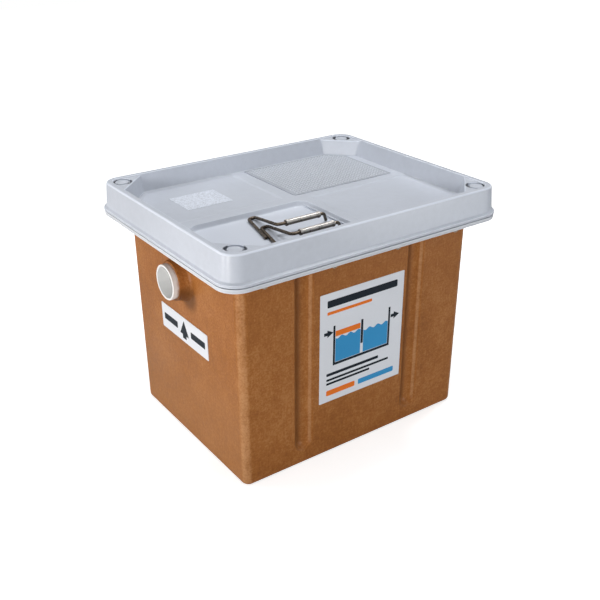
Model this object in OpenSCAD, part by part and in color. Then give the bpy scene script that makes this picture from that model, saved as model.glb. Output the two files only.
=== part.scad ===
// Grease trap: fibreglass tank, bolted lid frame and lift-off moulded lid.
// Millimetres. +Z is up and the origin is the middle of the tank's base.
// The outlet is on the -X end, the inlet on the +X end and the key pocket faces -Y.

/* [Tank] */
// Outer length of the tank just under its flange
tank_len = 696; // [640:4:760]
// Outer width of the tank just under its flange
tank_wid = 538; // [500:2:600]
// Height from the base to the top of the flange
tank_h = 553; // [520:1:650]
// Laminate thickness of the walls and the floor
tank_wall = 6; // [4:0.5:8]
// How far each wall leans in between the flange and the base
tank_draft = 4; // [2:0.5:8]
// Radius of the upright corners at the flange
tank_corner_r = 24; // [24:1:44]
// Radius between the walls and the base
tank_base_r = 12; // [9:0.5:15]
// How far the flange stands out from the walls
flange_wid = 26; // [22:1:32]
// Thickness of the flange
flange_th = 14; // [6:0.5:14]

/* [Flutes] */
// Width of a flute at the wall's face
flute_wid = 52; // [40:1:60]
// Depth of a flute
flute_depth = 14; // [8:0.5:18]
// Distance of each flute from the middle of the long wall
flute_x = 172; // [170:1:205]
// Height at which a flute runs out above the base
flute_foot = 44; // [30:1:80]

/* [Pipes] */
// Outer diameter of the pipes
pipe_od = 88.9; // [75:0.1:95]
// Wall thickness of the pipes
pipe_wall = 5.5; // [3:0.1:7]
// How far a pipe stands out from the end wall
pipe_stub = 42; // [36:1:60]
// Distance of the outlet pipe's axis below the top of the flange
outlet_below = 88; // [83:1:133]
// How much higher the inlet pipe's axis is
inlet_rise = 25; // [10:1:26]
// Length of the laminate collar round a pipe
collar_len = 28; // [14:1:30]
// Thickness of the collar at its outer end
collar_th = 5; // [3:0.5:8]
// How much thicker the collar is at the wall
collar_flare = 9; // [4:0.5:10]
// Wall thickness of a tee's sockets
tee_wall = 6; // [4:0.5:8]
// Depth of a tee's sockets
socket_depth = 38; // [25:1:40]
// Height of the tee's open top above its axis
tee_top = 60; // [56:1:62]
// Height of the outlet drop tube's end above the base
outlet_drop_z = 150; // [100:1:220]
// Height of the inlet drop tube's end above the base
inlet_drop_z = 240; // [180:1:300]

/* [Baffles] */
// Thickness of a baffle
baffle_th = 8; // [5:0.5:10]
// Distance of each baffle from the middle of the tank
baffle_x = 96; // [80:1:105]
// Distance of the baffles' top edge below the top of the flange
baffle_below = 48; // [38:1:63]
// Height of the passage under the outlet baffle
baffle_gap = 130; // [90:1:170]
// Height of the weir under the inlet baffle
weir_top = 172; // [140:1:200]
// Height of the passage between the weir and the inlet baffle
weir_gap = 36; // [24:1:60]
// Depth of a guide's groove
groove_depth = 16; // [10:1:22]
// Wall thickness of a guide
guide_th = 4; // [3:0.5:6]

/* [Frame] */
// Thickness of the seal between flange and frame
seal_th = 2; // [1:0.5:4]
// Height of the frame's base
frame_th = 10; // [8:0.5:14]
// Thickness of the frame's walls and of its base plate
frame_wall = 5; // [4:0.5:7]
// How far the frame's edge stays inside the lid's lip
frame_inset = 1; // [0.5:0.5:4]
// Thickness of the gasket under the lid
gasket_th = 4; // [3:0.5:6]
// Diameter of the frame bolts
bolt_d = 8; // [6:1:8]
// Bolts along each long side
bolts_long = 4; // [3:1:5]

/* [Lid] */
// How far the lid's top reaches past the tank's wall
lid_over = 48; // [48:1:60]
// Height of the lid from lip to rim
lid_h = 72; // [68:1:90]
// Wall thickness of the lid's skirt, gussets and wells
lid_wall = 5; // [4:0.5:6]
// Thickness of the tray's walls and floor
tray_wall = 6; // [5:0.5:7]
// Gap between the frame and the lid's lip
lid_gap = 3; // [2:0.5:5]
// Radius of the lid's upright corners at the rim
lid_corner_r = 42; // [34:1:50]
// How far the skirt leans out between the rim and the lip
lid_draft = 5; // [3:0.5:7]
// How far the lip flares past the skirt
lip_out = 7; // [4:0.5:9]
// Height of the flared lip
lip_h = 10; // [7:0.5:13]
// Width of the rim's flat top
rim_wid = 16; // [12:1:20]
// Radius of the rim's outer edge
rim_r = 5; // [2:0.5:6]
// Depth of the tray below the rim
recess_depth = 45; // [40:1:48]
// Width that the tray's sloping walls take up
recess_run = 16; // [12:1:20]
// Distance along each edge from the lid's corner to a gusset's end
gusset_leg = 120; // [110:1:135]
// Lean of a gusset's inner face
gusset_lean = 14; // [8:1:20]
// How far the gussets' tops lie below the rim
gusset_drop = 3; // [2:0.5:4]

/* [Lid floor] */
// Depth of the two plain sunken panels
panel_depth = 2.5; // [1.5:0.5:3]
// Depth of the key pocket
pocket_depth = 10; // [7:0.5:11]
// Width that the sloping edge of a panel or the pocket takes up
dent_run = 8; // [5:0.5:10]
// Corner radius of the panels
panel_r = 10; // [6:1:16]
// Corner radius of the key pocket
pocket_r = 26; // [18:1:34]
// Width of the raised bead round the key pocket
bead_wid = 8; // [5:0.5:9]
// Height of the raised bead
bead_h = 2; // [1:0.5:3]
// Thickness of the anti-slip tread panel
tread_th = 3; // [2.5:0.5:5]
// Depth of the bed that the tread panel lies in
tread_sink = 2; // [1:0.5:2.5]
// Gap round the tread panel
tread_gap = 2; // [1:0.5:3]
// Depth of the stiffening ribs under the lid
rib_depth = 14; // [8:1:15]

/* [Studs and keys] */
// Diameter of a lifting stud's head
stud_d = 36; // [28:1:38]
// Thickness of a lifting stud's head
stud_head = 9; // [6:0.5:10]
// Depth of the well that a stud stands in
well_depth = 14; // [12:0.5:18]
// Gap round a stud's head
well_gap = 7; // [5:0.5:8]
// Distance of a stud from the lid's two edges
stud_inset = 40; // [38:1:44]
// Diameter of a lifting key's rod
key_d = 8; // [6:0.5:9]
// Height of a key's grip above the pocket's floor
key_rise = 28; // [27:0.5:36]
// Outer diameter of a key's sleeve
sleeve_d = 16; // [14:0.5:18]
// Length of a key's sleeve
sleeve_len = 98; // [70:1:100]

/* [Hidden] */
$fn = 64;

// Clearances: bonded or screwed fits, sliding fits, and the cutters' overshoot
bond_gap = 0.3;
slide_gap = 0.5;
over = 1;
corner_fn = 40;

// Colours
laminate = [0.62, 0.40, 0.23];
lid_grey = [0.75, 0.77, 0.81];
frame_grey = [0.82, 0.84, 0.87];
pvc_white = [0.94, 0.94, 0.93];
rubber = [0.16, 0.16, 0.17];
steel = [0.66, 0.63, 0.59];

// Heights of the stacked pieces
frame_z = tank_h + seal_th;
frame_top = frame_z + frame_th;
lid_z = frame_top + lid_gap;
lid_top = lid_z + lid_h;
floor_z = lid_top - recess_depth;
floor_under = floor_z - tray_wall;
upstand_top = floor_under - gasket_th;
gusset_top = lid_top - gusset_drop;
well_z = gusset_top - well_depth;
pocket_z = floor_z - pocket_depth;
outlet_z = tank_h - outlet_below;
inlet_z = outlet_z + inlet_rise;
baffle_top = tank_h - baffle_below;

// Plan sizes
open_len = tank_len - 2 * tank_wall;
open_wid = tank_wid - 2 * tank_wall;
open_r = tank_corner_r - tank_wall;
flange_len = tank_len + 2 * flange_wid;
flange_span = tank_wid + 2 * flange_wid;
flange_r = tank_corner_r + flange_wid;
lid_len = tank_len + 2 * lid_over;
lid_wid = tank_wid + 2 * lid_over;
lip_spread = lid_draft + lip_out;
frame_spread = lip_spread - frame_inset;
tray_floor_r = 16;
tray_inset = rim_wid + recess_run + tray_floor_r;
stud_x = lid_len / 2 - stud_inset;
stud_y = lid_wid / 2 - stud_inset;

// Edges of the panels in the lid's floor: the pocket hangs inside the frame's upstand
fit_gap = 8;
hang_x = open_len / 2 - fit_gap - lid_wall;
hang_y = open_wid / 2 - fit_gap - lid_wall;
ledge = 4;
panel_x = lid_len / 2 - rim_wid - recess_run - ledge;
panel_y = lid_wid / 2 - rim_wid - recess_run - ledge;
plain_left = [[-panel_x, 26], [-24, panel_y]];
plain_right = [[35, -panel_y], [panel_x, 0]];
pocket_area = [[-hang_x, -hang_y], [6, -14]];
tread_area = [[12, 28], [panel_x - 20, panel_y - tread_gap]];

// Where the gussets' inner faces meet the floor, as the sum of x and y
gusset_foot = (lid_len + lid_wid) / 2 - gusset_leg - sqrt(2) * tan(gusset_lean) * (gusset_top - floor_z);

// Flutes follow the lean of the long walls
wall_lean = atan(tank_draft / (tank_h - tank_base_r));
flute_r = (flute_wid * flute_wid / 4 + flute_depth * flute_depth) / (2 * flute_depth);

// Pipes and tees
pipe_r = pipe_od / 2;
bore_r = pipe_r - pipe_wall;
socket_r = pipe_r + bond_gap;
tee_r = socket_r + tee_wall;
tee_neck = pipe_r + 2;
tee_reach = tee_neck + socket_depth;
tee_gap = 10;
mark_wid = 1.5;
mark_depth = 0.6;
tee_x = tank_len / 2 - tank_draft - tank_wall - tee_gap - tee_reach;
run_ease = 0.5;

// Baffles and guides
groove_w = baffle_th + 2 * slide_gap;
guide_w = groove_w + 2 * guide_th;
weir_foot = weir_top + weir_gap;

// Frame bolts
washer_th = 1.6;
head_h = 0.65 * bolt_d;
nut_h = 0.8 * bolt_d;
bolt_hole_r = bolt_d / 2 + slide_gap;
bolt_inset_x = 60;
bolt_inset_y = 110;
bolt_end_y = tank_wid / 2 - bolt_inset_y;
bolt_span = tank_len - 2 * bolt_inset_x;
bolt_pitch = bolt_span / (bolts_long - 1);
bolt_places = concat(
    [for (i = [0 : bolts_long - 1], s = [-1, 1])
        [-bolt_span / 2 + i * bolt_pitch, s * (tank_wid + flange_wid) / 2]],
    [for (s = [-1, 1], t = [-1, 1]) [s * (tank_len + flange_wid) / 2, t * bolt_end_y]]
);

// Lifting studs
stud_places = [[1, 1], [-1, 1], [-1, -1], [1, -1]];
stud_thread_r = 6;
stud_neck_r = 9;
stud_nut_h = 8;

// Lifting keys: places of one key's bends, and the step from one key to the next
key_rest = pocket_z + key_d / 2 + 0.1;
key_lift = pocket_z + key_rise;
key_step = [-8, -68, 0];
key_bends = [
    [-204, -164, key_rest],
    [-172, -36, key_rest],
    [-153, -36, key_rest + 1],
    [-170, -161, key_lift],
    [-36, -161, key_lift],
    [-21, -149, pocket_z + 0.7 * key_d / 2 + 0.2]
];
key_bend_cuts = [0, 9, 9, 14, 9, 0];
key_sides = 12;
sleeve_shift = 4;
bend_steps = 5;

// Half sizes of the tank's outside at a height, above the rounded foot
function lean_at(z) = tank_draft * (tank_h - z) / (tank_h - tank_base_r);
function half_len_at(z) = tank_len / 2 - lean_at(z);
function half_wid_at(z) = tank_wid / 2 - lean_at(z);

// Half width of a baffle at a height, inside the guides' grooves
function baffle_edge_at(z) = half_wid_at(z) - tank_wall - guide_th - slide_gap;

// Points of an arc in the profile plane
function arc(c, r, a0, a1, n) =
    [for (i = [0 : n]) [c[0] + r * cos(a0 + (a1 - a0) * i / n), c[1] + r * sin(a0 + (a1 - a0) * i / n)]];

function unit(v) = v / norm(v);

// One bend of a rod, as a curve that leaves and rejoins the straights at the cut length
function bend(a, b, c, cut) =
    let (p = b + cut * unit(a - b), q = b + cut * unit(c - b))
    [for (i = [0 : bend_steps])
        let (t = i / bend_steps) (1 - t) * (1 - t) * p + 2 * t * (1 - t) * b + t * t * q];

// Route of a rod with all its corners bent
function rod_route(pts, cuts) =
    [for (i = [0 : len(pts) - 1])
        each (cuts[i] == 0 ? [pts[i]] : bend(pts[i - 1], pts[i], pts[i + 1], cuts[i]))];

function tangent(route, i) =
    unit(route[min(i + 1, len(route) - 1)] - route[max(i - 1, 0)]);

// Side vectors carried along a route without twist
function sides_along(route, i = 0, side = [0, 0, 1]) =
    i == len(route) ? [] :
    let (t = tangent(route, i), s = unit(side - (side * t) * t))
    concat([s], sides_along(route, i + 1, s));

// Flat outline with round corners
module rounded_rect(l, w, r) {
    square([l - 2 * r, w], center = true);
    square([l, w - 2 * r], center = true);
    for (x = [-1, 1], y = [-1, 1])
        translate([x * (l / 2 - r), y * (w / 2 - r)]) circle(r);
}

// Ring between two rounded outlines
module ring(outer, inner, z, h) {
    translate([0, 0, z]) linear_extrude(h) difference() {
        rounded_rect(outer[0], outer[1], outer[2]);
        rounded_rect(inner[0], inner[1], inner[2]);
    }
}

// Block whose four corners are one revolved profile
module corner_block(l, w, profile) {
    hull() for (x = [-1, 1], y = [-1, 1])
        translate([x * l / 2, y * w / 2]) rotate_extrude($fn = corner_fn) polygon(profile);
}

// Solid inside the tank's walls when g is the wall, or the whole tub when g is 0
module tub(g) {
    r_top = tank_corner_r - g;
    r_base = r_top - tank_draft;
    f = tank_base_r - g;
    rise = g > 0 ? over : 0;
    corner_block(
        tank_len - 2 * tank_corner_r, tank_wid - 2 * tank_corner_r,
        concat([[0, g]], arc([r_base - f, g + f], f, -90, 0, 4),
            [[r_top, tank_h], [r_top, tank_h + rise], [0, tank_h + rise]])
    );
}

// Flutes of both long walls, grown by g
module flutes(g, top) {
    foot = tank_h - flute_foot - flute_wid / 2;
    for (s = [-1, 1], x = [-1, 1])
        translate([x * flute_x, s * tank_wid / 2, tank_h]) rotate([-s * wall_lean, 0, 0])
            translate([0, s * (flute_r - flute_depth), -foot]) {
                cylinder(r = flute_r + g, h = foot - top);
                sphere(r = flute_r + g);
            }
}

// Turns a shape's +Z to the outward direction of one end
module at_end(end, x, z) {
    translate([end * x, 0, z]) rotate([0, end * 90, 0]) children();
}

module tank() {
    color(laminate) difference() {
        union() {
            tub(0);
            translate([0, 0, tank_h - flange_th]) linear_extrude(flange_th)
                rounded_rect(flange_len, flange_span, flange_r);
            collar(-1, outlet_z);
            collar(1, inlet_z);
        }
        difference() {
            tub(tank_wall);
            flutes(tank_wall, -2 * over);
        }
        flutes(0, flange_th);
        pipe_hole(-1, outlet_z);
        pipe_hole(1, inlet_z);
        bolt_holes(tank_h - flange_th, flange_th);
    }
}

// Laminate collar that flares from a pipe into the end wall
module collar(end, z) {
    sunk = tank_wall / 2;
    r = pipe_r + collar_th;
    at_end(end, half_len_at(z) - sunk, z)
        cylinder(r1 = r + collar_flare, r2 = r, h = collar_len + sunk);
}

module pipe_hole(end, z) {
    at_end(end, half_len_at(z) - 2 * tank_wall, z)
        cylinder(r = pipe_r + bond_gap, h = collar_len + 3 * tank_wall);
}

module bolt_holes(z, h) {
    for (p = bolt_places)
        translate([p[0], p[1], z - over]) cylinder(r = bolt_hole_r, h = h + 2 * over);
}

module frame_seal() {
    edge = 2;
    color(rubber) difference() {
        ring([flange_len - 2 * edge, flange_span - 2 * edge, flange_r - edge],
            [open_len + 2 * edge, open_wid + 2 * edge, open_r + edge], tank_h, seal_th);
        bolt_holes(tank_h, seal_th);
    }
}

module frame() {
    l = lid_len + 2 * frame_spread;
    w = lid_wid + 2 * frame_spread;
    r = lid_corner_r + frame_spread;
    land = flange_wid + frame_wall;
    color(frame_grey) difference() {
        union() {
            ring([l, w, r], [open_len, open_wid, open_r], frame_z, frame_th);
            ring([tank_len, tank_wid, tank_corner_r], [open_len, open_wid, open_r],
                frame_top - over, upstand_top - frame_top + over);
        }
        ring([l - 2 * frame_wall, w - 2 * frame_wall, r - frame_wall],
            [tank_len + 2 * land, tank_wid + 2 * land, tank_corner_r + land],
            frame_z - over, frame_th - frame_wall + over);
        bolt_holes(frame_z, frame_th);
    }
}

module lid_gasket() {
    edge = 0.5;
    color(rubber)
        ring([tank_len - 2 * edge, tank_wid - 2 * edge, tank_corner_r - edge],
            [open_len + 2 * edge, open_wid + 2 * edge, open_r + edge], upstand_top, gasket_th);
}

module frame_bolts() {
    shank = frame_th + seal_th + flange_th + washer_th + nut_h + 3;
    color(steel) for (p = bolt_places) translate([p[0], p[1], frame_top]) {
        cylinder(r = 0.92 * bolt_d, h = head_h, $fn = 6);
        translate([0, 0, -shank]) cylinder(d = bolt_d, h = shank + over);
    }
}

module frame_washers() {
    color(steel) for (p = bolt_places)
        translate([p[0], p[1], tank_h - flange_th - washer_th]) difference() {
            cylinder(r = 1.05 * bolt_d, h = washer_th);
            translate([0, 0, -over]) cylinder(r = bolt_d / 2 + bond_gap, h = washer_th + 2 * over);
        }
}

module frame_nuts() {
    color(steel) for (p = bolt_places)
        translate([p[0], p[1], tank_h - flange_th - washer_th - nut_h]) difference() {
            cylinder(r = 0.92 * bolt_d, h = nut_h, $fn = 6);
            translate([0, 0, -over]) cylinder(r = bolt_d / 2 + bond_gap, h = nut_h + 2 * over);
        }
}

// Skirt with its rounded rim, as one solid
module lid_skirt() {
    r = lid_corner_r;
    corner_block(lid_len - 2 * r, lid_wid - 2 * r,
        concat([[0, lid_z], [r + lid_draft, lid_z]],
            arc([r - rim_r, lid_top - rim_r], rim_r, 0, 90, 4), [[0, lid_top]]));
}

// Flared lip along the foot of the skirt
module lid_lip() {
    r = lid_corner_r;
    bend_h = 0.35 * lip_h;
    corner_block(lid_len - 2 * r, lid_wid - 2 * r,
        [[0, lid_z], [r + lip_spread, lid_z], [r + lip_spread, lid_z + lip_h - bend_h],
            [r + lid_draft, lid_z + lip_h], [0, lid_z + lip_h]]);
}

// Space under the lid, up to the gussets
module lid_cavity() {
    r = lid_corner_r - lid_wall;
    top = gusset_top - lid_wall;
    corner_block(lid_len - 2 * lid_corner_r, lid_wid - 2 * lid_corner_r,
        [[0, lid_z - over], [r + lid_draft, lid_z - over], [r, top], [0, top]]);
}

// Tray of the lid with its corners cut off by the gussets, grown by g
module tray(g) {
    z0 = floor_z - g;
    r0 = tray_floor_r + g;
    slope = atan(recess_depth / recess_run);
    f = lid_wall;
    wall_top = r0 + recess_run * (recess_depth + g) / recess_depth;
    difference() {
        corner_block(lid_len - 2 * tray_inset, lid_wid - 2 * tray_inset,
            concat([[0, z0]], arc([r0 - f * tan(slope / 2), z0 + f], f, -90, slope - 90, 3),
                [[wall_top, lid_top], [wall_top, lid_top + over], [0, lid_top + over]]));
        for (x = [-1, 1], y = [-1, 1])
            translate([x * (lid_len - gusset_leg) / 2, y * (lid_wid - gusset_leg) / 2, gusset_top])
                rotate([0, 0, atan2(y, x)]) rotate([0, gusset_lean, 0])
                    translate([g, -lid_wid / 2, -2 * lid_h]) cube([lid_wid, lid_wid, 3 * lid_h]);
    }
}

// Sunken area with sloping sides in the lid's floor, grown by g
module dent(area, depth, r, g) {
    size = area[1] - area[0];
    mid = (area[0] + area[1]) / 2;
    foot = [size[0] - 2 * dent_run + 2 * g, size[1] - 2 * dent_run + 2 * g];
    spread = 2 * dent_run * (depth + over) / depth;
    translate([mid[0], mid[1], floor_z - depth - g])
        linear_extrude(depth + over, scale = [1 + spread / foot[0], 1 + spread / foot[1]], slices = 1)
            rounded_rect(foot[0], foot[1], r, $fn = 32);
}

// Flat area inside the feet of the four gussets, less a gap
module inside_gussets(gap) {
    rotate(45) square(sqrt(2) * gusset_foot - 2 * gap, center = true);
}

module plain_panels() {
    intersection() {
        union() {
            dent(plain_left, panel_depth, panel_r, 0);
            dent(plain_right, panel_depth, panel_r, 0);
        }
        translate([0, 0, floor_z - tray_wall]) linear_extrude(2 * tray_wall) inside_gussets(ledge);
    }
}

// Outline of the tread panel, grown by g
module tread_outline(g) {
    size = tread_area[1] - tread_area[0];
    mid = (tread_area[0] + tread_area[1]) / 2;
    intersection() {
        translate(mid) rounded_rect(size[0] + 2 * g, size[1] + 2 * g, panel_r / 2 + g);
        inside_gussets(ledge - g);
    }
}

// Raised bead round the key pocket
module pocket_bead() {
    size = pocket_area[1] - pocket_area[0];
    mid = (pocket_area[0] + pocket_area[1]) / 2;
    edge = 2 * bead_wid;
    translate([mid[0], mid[1], 0])
        ring([size[0] + edge, size[1] + edge, pocket_r + bead_wid], [size[0], size[1], pocket_r],
            floor_z - over, bead_h + over);
}

module lid_ribs() {
    x = open_len / 2 - fit_gap;
    y = open_wid / 2 - fit_gap;
    translate([-x, -lid_wall / 2, floor_under - rib_depth]) cube([2 * x, lid_wall, rib_depth + over]);
    translate([-lid_wall / 2, -y, floor_under - rib_depth]) cube([lid_wall, 2 * y, rib_depth + over]);
}

// Places of the four studs, numbered from the back right round to the front right
module at_stud(i) {
    translate([stud_places[i][0] * stud_x, stud_places[i][1] * stud_y, well_z]) children();
}

module lid() {
    gusset_edge = rim_wid + recess_run * gusset_drop / recess_depth;
    color(lid_grey) {
        difference() {
            union() {
                lid_skirt();
                lid_lip();
            }
            difference() {
                lid_cavity();
                tray(tray_wall);
                dent(pocket_area, pocket_depth, pocket_r, lid_wall);
                lid_ribs();
                for (i = [0 : 3]) at_stud(i) translate([0, 0, -lid_wall])
                    cylinder(r = stud_d / 2 + well_gap + lid_wall, h = well_depth + lid_wall);
            }
            tray(0);
            plain_panels();
            dent(pocket_area, pocket_depth, pocket_r, 0);
            translate([0, 0, floor_z - tread_sink]) linear_extrude(tread_sink + over)
                tread_outline(tread_gap);
            translate([0, 0, gusset_top]) linear_extrude(gusset_drop + over)
                rounded_rect(lid_len - 2 * gusset_edge, lid_wid - 2 * gusset_edge, tray_inset - gusset_edge);
            for (i = [0 : 3]) at_stud(i) {
                cylinder(r = stud_d / 2 + well_gap, h = well_depth + over);
                translate([0, 0, -2 * lid_wall]) cylinder(r = stud_thread_r + bond_gap, h = 3 * lid_wall);
            }
        }
        pocket_bead();
    }
}

module tread_panel() {
    color(lid_grey) translate([0, 0, floor_z - tread_sink]) linear_extrude(tread_th) tread_outline(0);
}

module lifting_stud(i) {
    thread = lid_wall + stud_nut_h + 2;
    color(lid_grey) at_stud(i) {
        translate([0, 0, well_depth - stud_head]) cylinder(d = stud_d, h = stud_head);
        cylinder(r = stud_neck_r, h = well_depth - stud_head + over);
        translate([0, 0, -thread]) cylinder(r = stud_thread_r, h = thread + over);
    }
}

module stud_nuts() {
    color(steel) for (i = [0 : 3]) at_stud(i) translate([0, 0, -lid_wall - stud_nut_h]) difference() {
        cylinder(r = 1.85 * stud_thread_r, h = stud_nut_h, $fn = 6);
        translate([0, 0, -over]) cylinder(r = stud_thread_r + bond_gap, h = stud_nut_h + 2 * over);
    }
}

// Bent rod: rings of points carried along the route and joined
module lifting_key(i) {
    route = rod_route(key_bends, key_bend_cuts);
    side = sides_along(route);
    n = key_sides;
    last = len(route) - 1;
    points = [for (k = [0 : last], a = [0 : n - 1])
        let (t = tangent(route, k), up = cross(t, side[k]), w = 360 * a / n)
        route[k] + key_d / 2 * (cos(w) * side[k] + sin(w) * up)];
    walls = [for (k = [0 : last - 1], a = [0 : n - 1])
        let (b = (a + 1) % n) [k * n + a, (k + 1) * n + a, (k + 1) * n + b, k * n + b]];
    ends = [[for (a = [0 : n - 1]) a], [for (a = [n - 1 : -1 : 0]) last * n + a]];
    color(steel) translate(i * key_step) polyhedron(points, concat(walls, ends));
}

module key_sleeve(i) {
    from = key_bends[3];
    to = key_bends[4];
    start = (from[0] + to[0] - sleeve_len) / 2 + sleeve_shift;
    color(steel) translate(i * key_step + [start, from[1], from[2]]) rotate([0, 90, 0]) difference() {
        cylinder(d = sleeve_d, h = sleeve_len);
        translate([0, 0, -over]) cylinder(r = key_d / 2 + bond_gap, h = sleeve_len + 2 * over);
    }
}

// Pipe stub, with a fine groove at the collar that marks how far a coupling goes on
module pipe(end, z) {
    inner = tee_x + tee_neck + bond_gap;
    outer = tank_len / 2 + pipe_stub;
    mark = half_len_at(z) + collar_len - inner;
    color(pvc_white) at_end(end, inner, z) difference() {
        union() {
            cylinder(r = pipe_r, h = mark);
            translate([0, 0, mark - over]) cylinder(r = pipe_r - mark_depth, h = mark_wid + 2 * over);
            translate([0, 0, mark + mark_wid]) cylinder(r = pipe_r, h = outer - inner - mark - mark_wid);
        }
        translate([0, 0, -over]) cylinder(r = bore_r, h = outer - inner + 2 * over);
    }
}

// Tee with a plain open top and sockets to the side and below
module tee(end, z) {
    run = tee_reach + tee_top;
    color(pvc_white) translate([end * tee_x, 0, z]) difference() {
        union() {
            translate([0, 0, -tee_reach]) cylinder(r = tee_r + run_ease, h = run);
            rotate([0, end * 90, 0]) cylinder(r = tee_r, h = tee_reach);
        }
        translate([0, 0, -tee_reach - over]) cylinder(r = bore_r + run_ease, h = run + 2 * over);
        translate([0, 0, -tee_reach - over]) cylinder(r = socket_r, h = socket_depth + over);
        rotate([0, end * 90, 0]) {
            cylinder(r = bore_r, h = tee_reach);
            translate([0, 0, tee_neck]) cylinder(r = socket_r, h = socket_depth + over);
        }
    }
}

module drop_tube(end, z, foot) {
    top = z - tee_neck - bond_gap;
    color(pvc_white) translate([end * tee_x, 0, foot]) difference() {
        cylinder(r = pipe_r, h = top - foot);
        translate([0, 0, -over]) cylinder(r = bore_r, h = top - foot + 2 * over);
    }
}

// Upright panel across the tank, from the points of one of its sides
module baffle_panel(x, side) {
    other = [for (i = [len(side) - 1 : -1 : 0]) [-side[i][0], side[i][1]]];
    color(laminate) translate([x - baffle_th / 2, 0, 0]) rotate([90, 0, 90]) linear_extrude(baffle_th)
        polygon(concat(side, other));
}

// Low panel bonded to the floor and the long walls
module inlet_weir() {
    foot_y = half_wid_at(tank_base_r) - tank_base_r - bond_gap;
    baffle_panel(baffle_x, [
        [foot_y, tank_wall],
        [half_wid_at(tank_base_r) - tank_wall - bond_gap, tank_base_r],
        [half_wid_at(weir_top) - tank_wall - bond_gap, weir_top]
    ]);
}

// Panel that stands on the guides' feet and leaves a passage under it
module baffle(end, foot) {
    baffle_panel(end * baffle_x, [[baffle_edge_at(foot), foot], [baffle_edge_at(baffle_top), baffle_top]]);
}

// Channel bonded to a long wall, closed at its foot
module baffle_guide(end, side, foot) {
    back = guide_th;
    depth = back + groove_depth;
    low = foot - guide_th;
    wall_at = [half_wid_at(low) - tank_wall, half_wid_at(baffle_top) - tank_wall];
    color(laminate) translate([end * baffle_x, 0, 0]) difference() {
        translate([-guide_w / 2, 0, 0]) rotate([90, 0, 90]) linear_extrude(guide_w)
            polygon([
                [side * wall_at[0], low],
                [side * wall_at[1], baffle_top],
                [side * (wall_at[1] - depth), baffle_top],
                [side * (wall_at[0] - depth), low]
            ]);
        translate([-groove_w / 2, 0, 0]) rotate([90, 0, 90]) linear_extrude(groove_w)
            polygon([
                [side * (half_wid_at(foot) - tank_wall - back), foot],
                [side * (half_wid_at(baffle_top + over) - tank_wall - back), baffle_top + over],
                [side * (wall_at[1] - depth - over), baffle_top + over],
                [side * (wall_at[0] - depth - over), foot]
            ]);
    }
}

tank();
frame_seal();
frame();
frame_bolts();
frame_washers();
frame_nuts();
lid_gasket();
lid();
tread_panel();
for (i = [0 : 3]) lifting_stud(i);
stud_nuts();
for (i = [0 : 1]) lifting_key(i);
for (i = [0 : 1]) key_sleeve(i);
pipe(-1, outlet_z);  // outlet_pipe
tee(-1, outlet_z);  // outlet_tee
drop_tube(-1, outlet_z, outlet_drop_z);  // outlet_drop_tube
pipe(1, inlet_z);  // inlet_pipe
tee(1, inlet_z);  // inlet_tee
drop_tube(1, inlet_z, inlet_drop_z);  // inlet_drop_tube
inlet_weir();
baffle(1, weir_foot);  // inlet_baffle
baffle(-1, baffle_gap);  // outlet_baffle
baffle_guide(1, -1, weir_foot);  // baffle_guide_1
baffle_guide(1, 1, weir_foot);  // baffle_guide_2
baffle_guide(-1, -1, baffle_gap);  // baffle_guide_3
baffle_guide(-1, 1, baffle_gap);  // baffle_guide_4
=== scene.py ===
"""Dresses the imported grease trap: tank, lid, keys, pipes, labels, finishes and the studio around it."""

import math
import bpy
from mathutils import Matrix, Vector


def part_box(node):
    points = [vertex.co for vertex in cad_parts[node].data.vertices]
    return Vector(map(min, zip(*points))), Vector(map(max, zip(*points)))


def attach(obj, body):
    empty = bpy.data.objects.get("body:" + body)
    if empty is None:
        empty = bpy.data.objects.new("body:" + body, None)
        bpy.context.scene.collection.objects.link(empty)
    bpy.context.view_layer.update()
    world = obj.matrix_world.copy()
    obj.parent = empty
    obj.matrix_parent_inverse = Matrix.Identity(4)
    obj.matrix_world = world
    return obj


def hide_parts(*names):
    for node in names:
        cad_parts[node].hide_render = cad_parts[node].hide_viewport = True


bl_info = {
    "name": "Grease trap",
    "version": (1, 0, 0),
    "blender": (4, 5, 0),
    "location": "View3D > Sidebar > Grease trap",
    "description": "Builds a fibreglass grease trap with a moulded tray lid around its packed CAD frame",
    "category": "Add Mesh",
}

import bmesh
import bpy
from bpy.props import FloatProperty, FloatVectorProperty, PointerProperty
from mathutils import Matrix, Vector

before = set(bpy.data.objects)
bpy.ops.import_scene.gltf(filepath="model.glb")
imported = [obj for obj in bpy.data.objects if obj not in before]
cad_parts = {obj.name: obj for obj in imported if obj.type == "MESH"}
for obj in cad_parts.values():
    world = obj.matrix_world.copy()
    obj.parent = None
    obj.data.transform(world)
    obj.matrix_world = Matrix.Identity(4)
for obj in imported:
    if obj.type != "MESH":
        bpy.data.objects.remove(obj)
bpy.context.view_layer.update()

# Every shape below is worked out in millimetres and turned to metres when its mesh is made
MM = 0.001
BEND_STEPS = 4
WELD, SLIVER = 0.004, 0.001
ROD_CHAMFER = 0.28

# Rounded edges get a painted highlight: their strips are narrow, and turn by these degrees from no highlight
# to full
EDGE_STRIP = 6.0
EDGE_FROM, EDGE_TO = 12.0, 18.0

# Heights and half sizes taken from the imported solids
LID_LOW, LID_HIGH = (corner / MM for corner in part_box("lid"))
_, TANK_HIGH = (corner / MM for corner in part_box("tank"))
FRAME_LOW, FRAME_HIGH = (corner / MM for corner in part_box("frame"))
GASKET_LOW, GASKET_HIGH = (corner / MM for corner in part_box("lid_gasket"))
TREAD_LOW, TREAD_HIGH = (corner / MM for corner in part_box("tread_panel"))

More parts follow.
